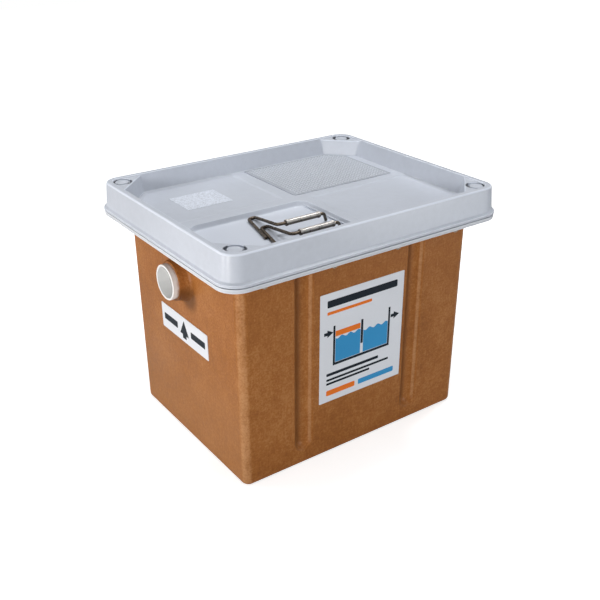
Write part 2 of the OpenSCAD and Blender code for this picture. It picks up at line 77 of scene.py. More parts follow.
# The tank, whose wall lies just outside the lid's gasket
GASKET_INSET = 0.5
WALL_X, WALL_Y = GASKET_HIGH.x + GASKET_INSET, GASKET_HIGH.y + GASKET_INSET
BASE_ROUND = 12.0
TANK_CORNER = 24.0
FLANGE_THICK = 14.0
FLANGE_UNDER = TANK_HIGH.z - FLANGE_THICK
FLUTE_SOFT = 2.0
FLUTE_FADE = -26.0
# Distances from a flute's middle to its painted highlight and to its painted shade
FLUTE_RIDGE, FLUTE_SHADE = 21.5, -13.0
# Place of the painted shadow of the outlet's collar: across the end wall, and down from the outlet
SHADOW_Y, SHADOW_DROP = -36.0, 36.0

# The bolts of the frame, set in from the tank's corners
BOLT_SIZE = 8.0
WASHER_R = 8.4
BOLT_INSET_X, BOLT_INSET_Y = 60.0, 110.0

# The pipes
PIPE_R, BORE_R = 44.45, 38.95
HOLE_R = PIPE_R + 0.3
OUTLET_Z, INLET_Z = 465.0, 490.0
COLLAR_END = 28.0
ENDS = ((-1, OUTLET_Z, "outlet_pipe"), (1, INLET_Z, "inlet_pipe"))

# The lid, and the outlines of what lies on its floor
LID_TOP = LID_HIGH.z
LID_CORNER = 42.0
FLOOR_THICK = 6.0
RIB_DEPTH = 14.0
RIBS = ((334, 2.5), (2.5, 255))
GUSSET_LEAN = math.tan(math.radians(14))
STUD_INSET = 40.0
WELL_OUT, WELL_IN = math.sqrt(760), math.sqrt(690)
LUG_MARGIN = 9.0
PANELS = {
    "left": [(-360, 26), (-24, 26), (-24, 281), (-291.5, 281), (-360, 212.5)],
    "right": [(35, -281), (291.5, -281), (360, -212.5), (360, 0), (35, 0)],
    "tread": [(12, 28), (340, 28), (340, 232.5), (293.5, 279), (12, 279)],
    "pocket": [(-329, -250), (6, -250), (6, -14), (-329, -14)],
}
POCKET_LOW, POCKET_HIGH = Vector(PANELS["pocket"][0]), Vector(PANELS["pocket"][2])
POCKET_MID, POCKET_HALF = (POCKET_HIGH + POCKET_LOW) / 2, (POCKET_HIGH - POCKET_LOW) / 2
POCKET_CORNERS = [28] * 4

# The labels and the bare patch: middles, half sizes and outline
SHEET_X, SHEET_Z = 5.0, 308.0
PLATE_Z = 323.0
PLATE_HALF_Y, PLATE_HALF_Z = 117.5, 35.0
PATCH = (-264, 97, -134, 202)

# The camera: turn, rise and roll in degrees, lens in millimetres, and its place from its aim in its own axes
CAMERA_ANGLES = (-35.27, 25.975, -0.245)
CAMERA_LENS = 51.166
CAMERA_AIM = (0, 0, 0.320)
CAMERA_PLACE = (0.00535, -0.01132, 2.3089)

# The lamps: name, place in metres, diameter in metres, power in watts and tint
WARM, COOL, PLAIN = (1.0, 0.97, 0.935), (0.955, 0.98, 1.0), (0.985, 0.992, 1.0)
LAMP_AIM = (0, 0, 0.35)
LAMPS = (
    ("key_light", (-2.0, 0.9, 1.4), 0.3, 5, WARM),
    ("side_back_light", (-1.9, 1.1, 0.58), 0.2, 6, WARM),
    ("side_light", (-2.4, 0.1, 0.28), 0.5, 8.5, WARM),
    ("pipe_light", (-1.0, -0.5, 0.5), 0.1, 1.2, WARM),
    ("front_left_light", (-6.39, -4.65, 1.75), 1.2, 222, PLAIN),
    ("front_low_light", (2.2, -3.0, 0.26), 0.5, 26, COOL),
    ("front_high_light", (2.24, -6.16, 4.94), 3.0, 60, COOL),
    ("top_light", (0, 0.1, 2.8), 2.2, 23, PLAIN),
    ("right_light", (2.0, 0.1, 3.8), 0.5, 38, PLAIN),
    ("back_light", (-0.4, 2.4, 3.4), 0.5, 27, PLAIN),
)
FLOOR_REACH = 9000


def srgb(red, green, blue):
    """Linear colour of three sRGB values from 0 to 255."""
    def linear(value):
        share = value / 255
        return share / 12.92 if share <= 0.04045 else ((share + 0.055) / 1.055) ** 2.4
    return (linear(red), linear(green), linear(blue))


def length(name, text, millimetres):
    """A length property whose default is given in millimetres."""
    return FloatProperty(name=name, description=text, default=millimetres * MM, min=0, unit="LENGTH",
                         precision=4)


def colour(name, text, values):
    """A colour property whose default is given as sRGB values from 0 to 255."""
    return FloatVectorProperty(name=name, description=text, default=srgb(*values), size=3, min=0, max=1,
                               subtype="COLOR")


def in_mm(group):
    """The size properties in millimetres, by name."""
    return {key: getattr(group, key) / MM for key in group.__annotations__}


class TrapSizes(bpy.types.PropertyGroup):
    """Sizes that shape the pieces, the same as in the part's source."""

    tank_draft: length("Tank draft", "How far each tank wall leans in from flange to base", 4)
    tank_wall: length("Tank wall", "Thickness of the tank's laminate", 6)
    flange_width: length("Flange width", "How far the tank's flange stands out", 26)
    flute_width: length("Flute width", "Width of a flute at the wall's face", 52)
    flute_depth: length("Flute depth", "Depth of a flute", 14)
    flute_place: length("Flute place", "Distance of a flute from the middle of the long wall", 172)
    flute_foot: length("Flute foot", "Height at which a flute runs out", 44)
    lip_out: length("Lip flare", "How far the lip flares past the skirt", 7)
    lid_draft: length("Lid draft", "How far the skirt leans out from rim to lip", 5)
    rim_width: length("Rim width", "Width of the rim's flat top", 16)
    tray_run: length("Tray wall run", "Width that the tray's sloping walls take up", 16)
    tray_depth: length("Tray depth", "Depth of the tray below the rim", 45)
    gusset_leg: length("Gusset leg", "Distance from the lid's corner to a gusset's end", 120)
    gusset_drop: length("Gusset drop", "How far the gussets lie below the rim", 3)
    panel_depth: length("Panel depth", "Depth of the plain sunken panels", 2.5)
    pocket_depth: length("Pocket depth", "Depth of the key pocket", 10)
    lug_pitch: length("Lug pitch", "Distance between the lugs of the tread", 10.0)
    lug_length: length("Lug length", "Length of a tread lug", 8.6)
    lug_width: length("Lug width", "Width of a tread lug", 4.2)
    lug_height: length("Lug height", "Height of a tread lug", 1.3)
    key_rod: length("Key rod", "Diameter of a lifting key's rod", 8)
    key_sleeve: length("Key sleeve", "Outer diameter of a key's sleeve", 16)
    label_width: length("Label width", "Width of the sheet on the front", 261)
    label_height: length("Label height", "Height of the sheet on the front", 301)


class TrapColours(bpy.types.PropertyGroup):
    """Colours of the finishes."""

    laminate_dark: colour("Laminate shade", "Darkest tone of the fibreglass", (141, 86, 41))
    laminate: colour("Laminate", "Main tone of the fibreglass", (160, 100, 48))
    laminate_light: colour("Laminate light", "Lightest tone of the fibreglass", (177, 119, 67))
    # A lighter tone, used for painted highlights and painted bounce light
    laminate_worn: colour("Laminate worn", "Rubbed edges of the fibreglass", (197, 148, 104))
    lid_grey: colour("Lid grey", "Moulded lid", (202, 207, 217))
    # Painted shade in the gap round each stud
    well_shade: colour("Well shade", "Dirt low in the wells of the studs", (64, 68, 76))
    frame_grey: colour("Frame grey", "Frame under the lid", (212, 215, 221))
    tread_grey: colour("Tread grey", "Anti-slip panel", (176, 181, 190))
    # Painted lighter than the tread's grey, as a painted highlight on the lugs
    lug_grey: colour("Lug grey", "Lugs of the anti-slip panel", (212, 216, 223))
    pipe_white: colour("Pipe white", "Plastic pipes", (244, 244, 243))
    steel: colour("Steel", "Tarnished plated steel", (176, 163, 148))
    key_dark: colour("Key rods", "Dark rods of the lifting keys", (104, 92, 80))
    key_pale: colour("Key sleeves", "Pale tops of the keys' sleeves", (196, 191, 185))
    rubber: colour("Rubber", "Seal and gasket", (38, 38, 40))
    sheet_white: colour("Sheet white", "Label sheet and end plate", (229, 232, 238))
    ink_dark: colour("Dark ink", "Dark shapes of the labels", (22, 32, 42))
    ink_orange: colour("Orange ink", "Orange shapes of the labels", (238, 121, 38))
    ink_blue: colour("Blue ink", "Blue shapes of the labels", (58, 150, 205))


# Node trees

def maths(operation, swapped=False):
    """A method that puts a port, and another value where there are two, through a math node."""
    def method(port, other=0.0):
        first, second = (other, port) if swapped else (port, other)
        return port.tree.node("ShaderNodeMath", {"operation": operation}, {0: first, 1: second})
    return method


class Port:
    """An output socket that takes part in Python arithmetic."""

    def __init__(self, tree, socket):
        self.tree = tree
        self.socket = socket

    def out(self, name):
        """Another output of the same node."""
        return Port(self.tree, self.socket.node.outputs[name])

    __add__ = maths("ADD")
    __radd__ = maths("ADD", swapped=True)
    __sub__ = maths("SUBTRACT")
    __rsub__ = maths("SUBTRACT", swapped=True)
    __mul__ = maths("MULTIPLY")
    __rmul__ = maths("MULTIPLY", swapped=True)
    __truediv__ = maths("DIVIDE")
    __gt__ = maths("GREATER_THAN")
    size = maths("ABSOLUTE")
    sign = maths("SIGN")


class Tree:
    """A node tree, with one method that adds any node."""

    def __init__(self, tree):
        self.tree = tree

    def node(self, kind, settings=None, sockets=None, output=0):
        """Adds a node and gives one of its outputs."""
        made = self.tree.nodes.new(kind)
        for key, value in (settings or {}).items():
            setattr(made, key, value)
        self.feed(made, sockets or {})
        return Port(self, made.outputs[output]) if made.outputs else None

    def feed(self, made, sockets):
        """Links or sets the inputs of a node."""
        for key, value in sockets.items():
            if isinstance(value, Port):
                self.tree.links.new(value.socket, made.inputs[key])
            else:
                made.inputs[key].default_value = value


class Finish(Tree):
    """A procedural material on object coordinates."""

    def __init__(self, name):
        self.material = bpy.data.materials.new(name)
        self.material.use_nodes = True
        super().__init__(self.material.node_tree)
        self.shader = self.tree.nodes["Principled BSDF"]
        self.place = self.node("ShaderNodeTexCoord", output="Object")

    def noise(self, scale, detail=3.0, rough=0.55, stretch=None, turn=(0, 0, 0)):
        """Noise from 0 to 1 in space, drawn out where a stretch is given."""
        where = self.place
        if stretch:
            where = self.node("ShaderNodeMapping", {"vector_type": "POINT"},
                              {"Vector": where, "Rotation": turn, "Scale": stretch})
        return self.node("ShaderNodeTexNoise", {"noise_dimensions": "3D"},
                         {"Vector": where, "Scale": scale, "Detail": detail, "Roughness": rough})

    def spot(self):
        """The three object coordinates in millimetres."""
        split = self.node("ShaderNodeSeparateXYZ", None, {0: self.place})
        return [split.out(axis) / MM for axis in "XYZ"]

    def mark(self, name):
        """A value that a piece has noted on its points, and 0 where it has none."""
        return self.node("ShaderNodeAttribute", {"attribute_name": name}, output="Fac")

    def share(self, value, low, high):
        """How far a value lies between two limits, from 0 to 1 and smooth at both."""
        return self.node("ShaderNodeMapRange", {"interpolation_type": "SMOOTHSTEP"},
                         {"Value": value, "From Min": low, "From Max": high, "To Min": 0.0, "To Max": 1.0})

    def ramp(self, factor, *stops):
        """Colours along a factor, from stops of a place and a tone."""
        made = self.node("ShaderNodeValToRGB", None, {"Fac": factor})
        elements = made.socket.node.color_ramp.elements
        while len(elements) < len(stops):
            elements.new(1.0)
        for element, (place, tone) in zip(elements, stops):
            element.position = place
            element.color = (*tone, 1.0)
        return made

    def blend(self, factor, first, second):
        def four(tone):
            return tone if isinstance(tone, Port) else (*tone, 1.0)
        return self.node("ShaderNodeMix", {"data_type": "RGBA"}, {0: factor, 6: four(first), 7: four(second)},
                         output=2)

    def bump(self, height, strength, distance):
        return self.node("ShaderNodeBump", None,
                         {"Height": height, "Strength": strength, "Distance": distance * MM})

    def set(self, **sockets):
        names = {"base": "Base Color", "rough": "Roughness", "metal": "Metallic", "normal": "Normal",
                 "specular": "Specular IOR Level"}
        self.feed(self.shader, {names[key]: value for key, value in sockets.items()})
        return self.material


def shade(tone, share):
    """A colour made darker or lighter by a share."""
    return tuple(min(1.0, part * share) for part in tone)


def finish(name):
    """The named finish, made once."""
    full_name = name + "_finish"
    found = bpy.data.materials.get(full_name)
    return found if found else FINISHES[name](Finish(full_name), bpy.context.scene.trap_colours)


def laminate_finish(made, tones):
    """Mottled fibreglass, with painted highlights on the corners and flute ridges, painted shade in the
    flutes, painted bounce light low on the end walls and a painted shadow beside the outlet.
    """
    sizes = in_mm(bpy.context.scene.trap_sizes)
    cloud = made.noise(6.0, 4, 0.6)
    mottle = made.noise(34.0, 4, 0.65)
    speckle = made.noise(190.0, 3, 0.7)
    strand = made.noise(30.0, 3, 0.6, stretch=(7, 7, 1.1), turn=(0.5, 0.35, 0.6))
    cross = made.noise(30.0, 3, 0.6, stretch=(1.2, 7, 6), turn=(0.3, 0.9, 0.2))
    tone = cloud * 0.24 + mottle * 0.16 + speckle * 0.38 + strand * 0.12 + cross * 0.10
    base = made.ramp(tone, (0.40, tones.laminate_dark), (0.50, tones.laminate), (0.60, tones.laminate_light))
    # Noise that breaks up the painted highlights
    highlight_breakup = made.share(speckle * 0.5 + mottle * 0.5, 0.30, 0.68)

    # Where the painted highlights, shade and shadow lie, with the lean of the walls taken out
    x, y, z = made.spot()
    lean = (TANK_HIGH.z - z) * (sizes["tank_draft"] / TANK_HIGH.z)
    end, side = x.size() + lean, y.size() + lean
    # Painted highlight down the rounded upright corners
    near_end = made.share(end, WALL_X - TANK_CORNER, WALL_X)
    near_side = made.share(side, WALL_Y - TANK_CORNER, WALL_Y)
    corner = made.share(near_end * near_side, 0.0, 0.5)
    long_wall = made.share(side, WALL_Y - 19, WALL_Y - 11) * made.share(z, 48.0, 75.0)
    flute = x - x.sign() * sizes["flute_place"]
    # Painted highlight along the ridge of each flute
    ridge = made.share((flute - FLUTE_RIDGE).size(), 4.5, 1.0) * long_wall
    # Painted shade in each flute's groove, on its side away from the light
    groove = made.share((flute - FLUTE_SHADE).size(), 18.0, 5.0) * long_wall
    # Painted bounce light: the end walls grow lighter towards the bottom
    foot = made.share(z, 460.0, 40.0) * made.share(end, WALL_X - 12, WALL_X - 4)
    # Painted shadow of the outlet's collar, cast on the end wall below it and towards the front
    beside, below = y - SHADOW_Y, z - (OUTLET_Z - SHADOW_DROP)
    painted_shadow = made.share(beside * beside + below * below, 48.0 ** 2, 14.0 ** 2) * made.share(x, -340.0, -346.0)
    base = made.blend(groove * 0.6, base, shade(tones.laminate_dark, 0.6))
    base = made.blend(foot * 0.32, base, shade(tones.laminate_worn, 0.75))
    base = made.blend(painted_shadow * 0.75, base, shade(tones.laminate_dark, 0.45))
    # Painted highlights on the corners and flute ridges
    highlight = corner * (0.15 + 0.5 * highlight_breakup) + ridge * (0.3 + 0.4 * highlight_breakup)
    base = made.blend(highlight, base, tones.laminate_worn)
    height = mottle * 0.30 + strand * 0.20 + cross * 0.20 + speckle * 0.55
    return made.set(base=base, rough=0.28 + 0.22 * mottle, normal=made.bump(height, 0.35, 0.8), specular=0.16)


def moulded_finish(made, tone, peel=0.10, rough=0.32, marks=None):
    """Satin moulded plastic with orange peel, a trace of dust and painted highlights on rounded edges; marks
    adds to its colour.
    """
    haze = made.noise(5.0, 3, 0.5)
    dust = made.noise(60.0, 4, 0.6)
    fine = made.noise(900.0, 2, 0.5)
    base = made.ramp(haze * 0.55 + dust * 0.45, (0.36, shade(tone, 0.955)), (0.62, shade(tone, 1.03)))
    # Painted highlight on the rounded edges that the piece has noted
    base = made.blend(made.mark("edge") * 0.75, base, shade(tone, 1.4))
    base = marks(base) if marks else base
    return made.set(base=base, rough=(rough - 0.05) + 0.10 * dust,
                    normal=made.bump(fine * 0.7 + dust * 0.3, peel, 0.4), specular=0.45)


def lid_finish(made, tones):
    """The lid's plastic, with painted light on the pocket's floor and painted shade on two sides of each
    stud's well.
    """
    sizes = in_mm(bpy.context.scene.trap_sizes)
    pocket_floor = LID_TOP - sizes["tray_depth"] - sizes["pocket_depth"]
    stud_inset = STUD_INSET + sizes["lid_draft"] + sizes["lip_out"]

    def marks(base):
        x, y, z = made.spot()
        # Painted light: the pocket's floor lighter than the lid around it
        across = made.share((x - POCKET_MID.x).size(), POCKET_HALF.x + 4, POCKET_HALF.x)
        along = made.share((y - POCKET_MID.y).size(), POCKET_HALF.y + 4, POCKET_HALF.y)
        sunken = made.share(z, pocket_floor + 5, pocket_floor + 1)
        base = made.blend(across * along * sunken * 0.8, base, shade(tones.lid_grey, 1.22))
        # Painted shade low in the gap on two sides of each stud's well
        aside = x - x.sign() * (LID_HIGH.x - stud_inset)
        ahead = y - y.sign() * (LID_HIGH.y - stud_inset)
        in_well = made.share(aside * aside + ahead * ahead, WELL_OUT ** 2, WELL_IN ** 2)
        deep = made.share(z, LID_TOP - 2.6, LID_TOP - 3.4)
        two_sides = made.share((aside * 0.78 - ahead * 0.62).size(), 15.0, 19.5)
        return made.blend(in_well * deep * two_sides * 0.85, base, tones.well_shade)
    return moulded_finish(made, tones.lid_grey, rough=0.33, marks=marks)


def plate_finish(made, tones):
    """Lighter stippled patch on the lid."""
    stipple = made.noise(230.0, 3, 0.7)
    base = made.ramp(stipple, (0.38, shade(tones.lid_grey, 1.02)), (0.6, shade(tones.lid_grey, 1.42)))
    return made.set(base=base, rough=0.42 + 0.12 * stipple, normal=made.bump(stipple, 0.35, 0.5))


def pipe_finish(made, tones):
    """White pipe plastic with light scuffs, and resin smeared on its outside near the collar."""
    scuff = made.noise(14.0, 4, 0.6, stretch=(0.6, 5, 5))
    haze = made.noise(30.0, 3, 0.5)
    smear = made.noise(42.0, 4, 0.6)
    base = made.ramp(scuff * 0.6 + haze * 0.4, (0.34, shade(tones.pipe_white, 0.93)), (0.6, tones.pipe_white))
    behind = made.share(made.spot()[0].size() + smear * 16, 390.5, 379.0)
    base = made.blend(made.mark("outer_wall") * behind * 0.8, base, tones.laminate_light)
    return made.set(base=base, rough=0.24 + 0.16 * scuff, normal=made.bump(haze, 0.06, 0.4))


def rubber_finish(made, tones):
    """Black rubber with a fine grain."""
    grain = made.noise(240.0, 3, 0.6)
    base = made.ramp(grain, (0.35, shade(tones.rubber, 0.75)), (0.65, shade(tones.rubber, 1.35)))
    return made.set(base=base, rough=0.66 + 0.14 * grain, normal=made.bump(grain, 0.15, 0.3))


def steel_finish(made, tone, under, metal):
    """Plated steel, tarnished in spots and drawn along its length, with painted shade where it faces down."""
    spot = made.noise(70.0, 4, 0.65)
    drawn = made.noise(60.0, 3, 0.6, stretch=(1, 8, 8))
    tarnish = spot * 0.65 + drawn * 0.35
    base = made.ramp(tarnish, (0.34, shade(tone, 0.6)), (0.5, tone), (0.66, shade(tone, 1.25)))
    # Painted shade on faces that look down
    base = made.blend(made.mark("underside"), base, shade(under, 0.4))
    return made.set(base=base, metal=metal + 0.14 * drawn, rough=0.18 + 0.22 * spot,
                    normal=made.bump(drawn, 0.08, 0.3))


def printed_finish(made, tone, gloss):
    """Printed film with a faint tooth."""
    tooth = made.noise(300.0, 2, 0.5)
    haze = made.noise(4.0, 2, 0.5)
    base = made.ramp(haze * 0.7 + tooth * 0.3, (0.35, shade(tone, 0.97)), (0.65, shade(tone, 1.02)))
    return made.set(base=base, rough=gloss + 0.08 * tooth, normal=made.bump(tooth, 0.04, 0.2), specular=0.15)


FINISHES = {
    "laminate": laminate_finish,
    "lid_grey": lid_finish,
    "frame_grey": lambda made, tones: moulded_finish(made, tones.frame_grey, 0.08, 0.38),
    "tread_grey": lambda made, tones: moulded_finish(made, tones.tread_grey, 0.22, 0.48),
    "lug_grey": lambda made, tones: moulded_finish(made, tones.lug_grey, 0.15, 0.40),
    "stippled_patch": plate_finish,
    "pvc_white": pipe_finish,
    "rubber": rubber_finish,
    "steel": lambda made, tones: steel_finish(made, tones.steel, tones.steel, 0.86),
    "key_rod": lambda made, tones: steel_finish(made, tones.key_dark, tones.key_dark, 0.8),
    "key_grip": lambda made, tones: steel_finish(made, tones.key_pale, tones.key_dark, 0.15),
    "sheet_white": lambda made, tones: printed_finish(made, tones.sheet_white, 0.32),
    "ink_dark": lambda made, tones: printed_finish(made, tones.ink_dark, 0.34),
    "ink_orange": lambda made, tones: printed_finish(made, tones.ink_orange, 0.34),
    "ink_blue": lambda made, tones: printed_finish(made, tones.ink_blue, 0.34),
}


# Shapes in millimetres

def bend(start, corner, end, steps=BEND_STEPS):
    """Points of a smooth bend from start to end, drawn towards its corner."""
    shares = [k / steps for k in range(steps + 1)]
    return [start * (1 - t) ** 2 + corner * (2 * t * (1 - t)) + end * t ** 2 for t in shares]


def soften(points, radii):
    """A line of points whose corners are bent; equal radii lists give equal counts."""
    out = []
    for i, point in enumerate(points):
        radius = radii[i]
        if not radius:
            out.append(point)
            continue
        before, after = points[i - 1] - point, points[(i + 1) % len(points)] - point
        if before.length < 1e-4 or after.length < 1e-4:
            out += [point] * (BEND_STEPS + 1)
            continue
        turn = math.pi - before.angle(after, math.pi)
        cut = min(radius * math.tan(turn / 2), 0.45 * before.length, 0.45 * after.length)
        out += bend(point + before.normalized() * cut, point, point + after.normalized() * cut)
    return out


def all_quarters(quarter):
    """A whole ring from the points of its +X +Y quarter, anticlockwise from above."""
    back = quarter[::-1]
    flips = ((1, 1, quarter), (-1, 1, back), (-1, -1, quarter), (1, -1, back))
    return [Vector((sx * p.x, sy * p.y, p.z)) for sx, sy, points in flips for p in points]


def arc(x, y, radius, z, steps):
    """A quarter of a circle from +X to +Y around a centre."""
    angles = [math.pi / 2 * k / steps for k in range(steps + 1)]
    return [Vector((x + radius * math.cos(a), y + radius * math.sin(a), z)) for a in angles]


def rect_ring(half_x, half_y, radius, z):
    """A rounded rectangle as a ring."""
    return all_quarters(arc(half_x - radius, half_y - radius, radius, z, 9))


def outline(corners, radii, inset, z, steps=6):
    """A convex outline moved inwards, with round corners; corners run anticlockwise."""
    n = len(corners)
    points = [Vector((x, y)) for x, y in corners]
    moved = []
    for i in range(n):
        a, b, c = points[i - 1], points[i], points[(i + 1) % n]
        u, v = (b - a).normalized(), (c - b).normalized()
        nu, nv = Vector((-u.y, u.x)), Vector((-v.y, v.x))
        bisector = (nu + nv) / (1 + nu.dot(nv))
        moved.append((b + bisector * inset, u, v, nu))
    ring = []
    for (p, u, v, nu), radius in zip(moved, radii):
        turn = math.acos(max(-1, min(1, u.dot(v))))
        r = max(radius - inset, 0.8)
        centre = p - u * (r * math.tan(turn / 2)) + nu * r
        for k in range(steps + 1):
            a = turn * k / steps
            spoke = -nu
            ring.append(Vector((centre.x + r * (spoke.x * math.cos(a) - spoke.y * math.sin(a)),
                                centre.y + r * (spoke.x * math.sin(a) + spoke.y * math.cos(a)), z)))
    return ring


def stations(rings, radii):
    """Bends the line that runs through each station of a stack of rings, and gives the finer stack."""
    lines = [soften(line, radii) for line in zip(*rings)]
    return [list(ring) for ring in zip(*lines)]


def spokes(sides):
    """Cosine and sine of evenly spaced angles."""
    angles = [2 * math.pi * s / sides for s in range(sides)]
    return [(math.cos(a), math.sin(a)) for a in angles]


def turned(profile, place, radii=None, sides=48):
    """Rings of a turned shape: profile points are (radius, height) on the +Z axis, then moved by place."""
    line = [Vector((r, 0, h)) for r, h in profile]
    line = soften(line, radii) if radii else line
    return [[place @ Vector((p.x * c, p.x * s, p.z)) for c, s in spokes(sides)] for p in line]


def end_place(end, x, z):
    """Turns +Z to the outward direction of one end of the tank."""
    turn = Matrix(((0, 0, end, 0), (0, 1, 0, 0), (-end, 0, 0, 0), (0, 0, 0, 1)))
    return Matrix.Translation((end * x, 0, z)) @ turn


class Shape:
    """Collects rings, fills and sweeps into one mesh."""

    def __init__(self):
        self.bm = bmesh.new()

    def verts(self, ring):
        return [self.bm.verts.new(p * MM) for p in ring]

    def loft(self, rings, close=False, skip=()):
        """Joins rings in order; faces point outwards where rings run up and points run anticlockwise."""
        made = [self.verts(ring) for ring in rings]
        pairs = list(zip(made, made[1:])) + ([(made[-1], made[0])] if close else [])
        for k, (low, high) in enumerate(pairs):
            if k not in skip:
                self.wall(low, high)
        return made

    def wall(self, low, high):
        """Joins two rings of points."""
        for corners in zip(low, low[1:] + low[:1], high[1:] + high[:1], high):
            self.bm.faces.new(corners)

    def steps(self, corners, radii, base, edge):
        """Joins copies of an outline; edge gives the inset, rise and bend of each."""
        rings = [outline(corners, radii, inset, base + rise) for inset, rise, _ in edge]
        return self.loft(stations(rings, [e[2] for e in edge]))

    def fill(self, loops, up):
        """Fills an outer loop around hole loops, facing up or down."""
        edges = []
        for loop in loops:
            for a, b in zip(loop, loop[1:] + loop[:1]):
                edges.append(self.bm.edges.get((a, b)) or self.bm.edges.new((a, b)))
        self.cap(edges, Vector((0, 0, up)))

    def cap(self, edges, facing):
        """Fills closed lines of edges with triangles that face one way."""
        made = bmesh.ops.triangle_fill(self.bm, use_beauty=True, use_dissolve=False, edges=edges)
        for face in made["geom"]:
            if isinstance(face, bmesh.types.BMFace):
                face.normal_update()
                if face.normal.dot(facing) < 0:
                    face.normal_flip()

    def box(self, low, high):
        """A plain block between two corners."""
        made = bmesh.ops.create_cube(self.bm, size=1)
        for v in made["verts"]:
            v.co = Vector([(a + b) / 2 + c * (b - a) for a, b, c in zip(low, high, v.co)]) * MM

    def sweep(self, route, radius, sides=14):
        """A round rod along a route, with small chamfers at its ends."""
        last = len(route) - 1
        side = Vector((0, 0, 1))
        chamfer, narrow = ROD_CHAMFER * radius, (1 - ROD_CHAMFER) * radius
        rings = []
        for i, p in enumerate(route):
            along = (route[min(i + 1, last)] - route[max(i - 1, 0)]).normalized()
            side = (side - along * side.dot(along)).normalized()
            across = along.cross(side)
            sections = [(0, radius)]
            if i == 0:
                sections = [(0, 0), (0, narrow), (chamfer, radius)]
            elif i == last:
                sections = [(-chamfer, radius), (0, narrow), (0, 0)]
            for step, r in sections:
                rings.append([p + along * step + side * (r * c) + across * (r * s) for c, s in spokes(sides)])
        self.loft(rings)

    def prism(self, polygon, place, low, high):
        """A thin flat shape: polygon runs anticlockwise, place turns (u, v, height) to millimetres."""
        top = [self.bm.verts.new(place(u, v, high) * MM) for u, v in polygon]
        foot = [self.bm.verts.new(place(u, v, low) * MM) for u, v in polygon]
        edges = [self.bm.edges.new((a, b)) for a, b in zip(top, top[1:] + top[:1])]
        self.cap(edges, place(0, 0, 1) - place(0, 0, 0))
        self.wall(foot, top)

    def piece(self, name, sharp=40.0):
        """Welds the mesh and gives its object, smooth up to the sharp angle."""
        bmesh.ops.remove_doubles(self.bm, verts=self.bm.verts, dist=WELD * MM)
        bmesh.ops.dissolve_degenerate(self.bm, edges=self.bm.edges, dist=SLIVER * MM)
        loose = [v for v in self.bm.verts if not v.link_faces]
        bmesh.ops.delete(self.bm, geom=loose, context="VERTS")
        mesh = bpy.data.meshes.new(name)
        self.bm.to_mesh(mesh)
        self.bm.free()
        made = bpy.data.objects.new(name, mesh)
        bpy.context.scene.collection.objects.link(made)
        smooth(made, sharp)
        return made


def smooth(piece, sharp):
    """Smooth shading up to the sharp angle, led by the larger faces."""
    piece.data.shade_smooth()
    piece.data.set_sharp_from_angle(angle=math.radians(sharp))
    weighted = piece.modifiers.new("Weighted normals", "WEIGHTED_NORMAL")
    weighted.keep_sharp = True
    weighted.weight = 70


def note(piece, name, values):
    """Notes one value for each point of a piece, for its finish or its node tree."""
    piece.data.attributes.new(name, "FLOAT", "POINT").data.foreach_set("value", values)


def mark_edge_highlights(piece):
    """Notes which points lie on rounded outer edges, for finishes that paint a highlight on them."""
    def width(face):
        return face.calc_area() / max(e.calc_length() for e in face.edges)

    work = bmesh.new()
    work.from_mesh(piece.data)
    strips = {face for face in work.faces if width(face) < EDGE_STRIP * MM}
    values = []
    for v in work.verts:
        turn = math.degrees(max((e.calc_face_angle_signed(0) for e in v.link_edges), default=0))
        narrow = all(face in strips for face in v.link_faces)
        light = (turn - EDGE_FROM) / (EDGE_TO - EDGE_FROM)
        values.append(max(0.0, min(1.0, light)) if narrow else 0.0)
    work.free()
    note(piece, "edge", values)


def settle(piece):
    """Turns a piece's modifiers into plain mesh."""
    bpy.context.view_layer.update()
    solved = piece.evaluated_get(bpy.context.evaluated_depsgraph_get())
    mesh = bpy.data.meshes.new_from_object(solved)
    old = piece.data
    piece.modifiers.clear()
    piece.data = mesh
    mesh.name = piece.name
    bpy.data.meshes.remove(old)


def hand_over(piece, body, finish_name, replaced=()):
    """Gives a finished piece its material, its body and the CAD nodes it stands for."""
    settle(piece)
    piece.data.materials.clear()
    piece.data.materials.append(finish(finish_name))
    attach(piece, body)
    if replaced:
        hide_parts(*replaced)


def dress(nodes, finish_name):
    """Gives CAD nodes that keep their shape a procedural finish."""
    for name in nodes:
        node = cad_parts[name]
        node.data.materials.clear()
        node.data.materials.append(finish(finish_name))


def tank_half(sizes, z):
    """Half length and half width of the tank's outside at a height."""
    lean = sizes["tank_draft"] * (TANK_HIGH.z - max(z, BASE_ROUND)) / (TANK_HIGH.z - BASE_ROUND)
    return (WALL_X - lean, WALL_Y - lean)


def points_piece(name, points):
    """A piece that is only points."""
    mesh = bpy.data.meshes.new(name + "_places")
    mesh.from_pydata([(x * MM, y * MM, z * MM) for x, y, z in points], [], [])
    piece = bpy.data.objects.new(name, mesh)
    bpy.context.scene.collection.objects.link(piece)
    return piece


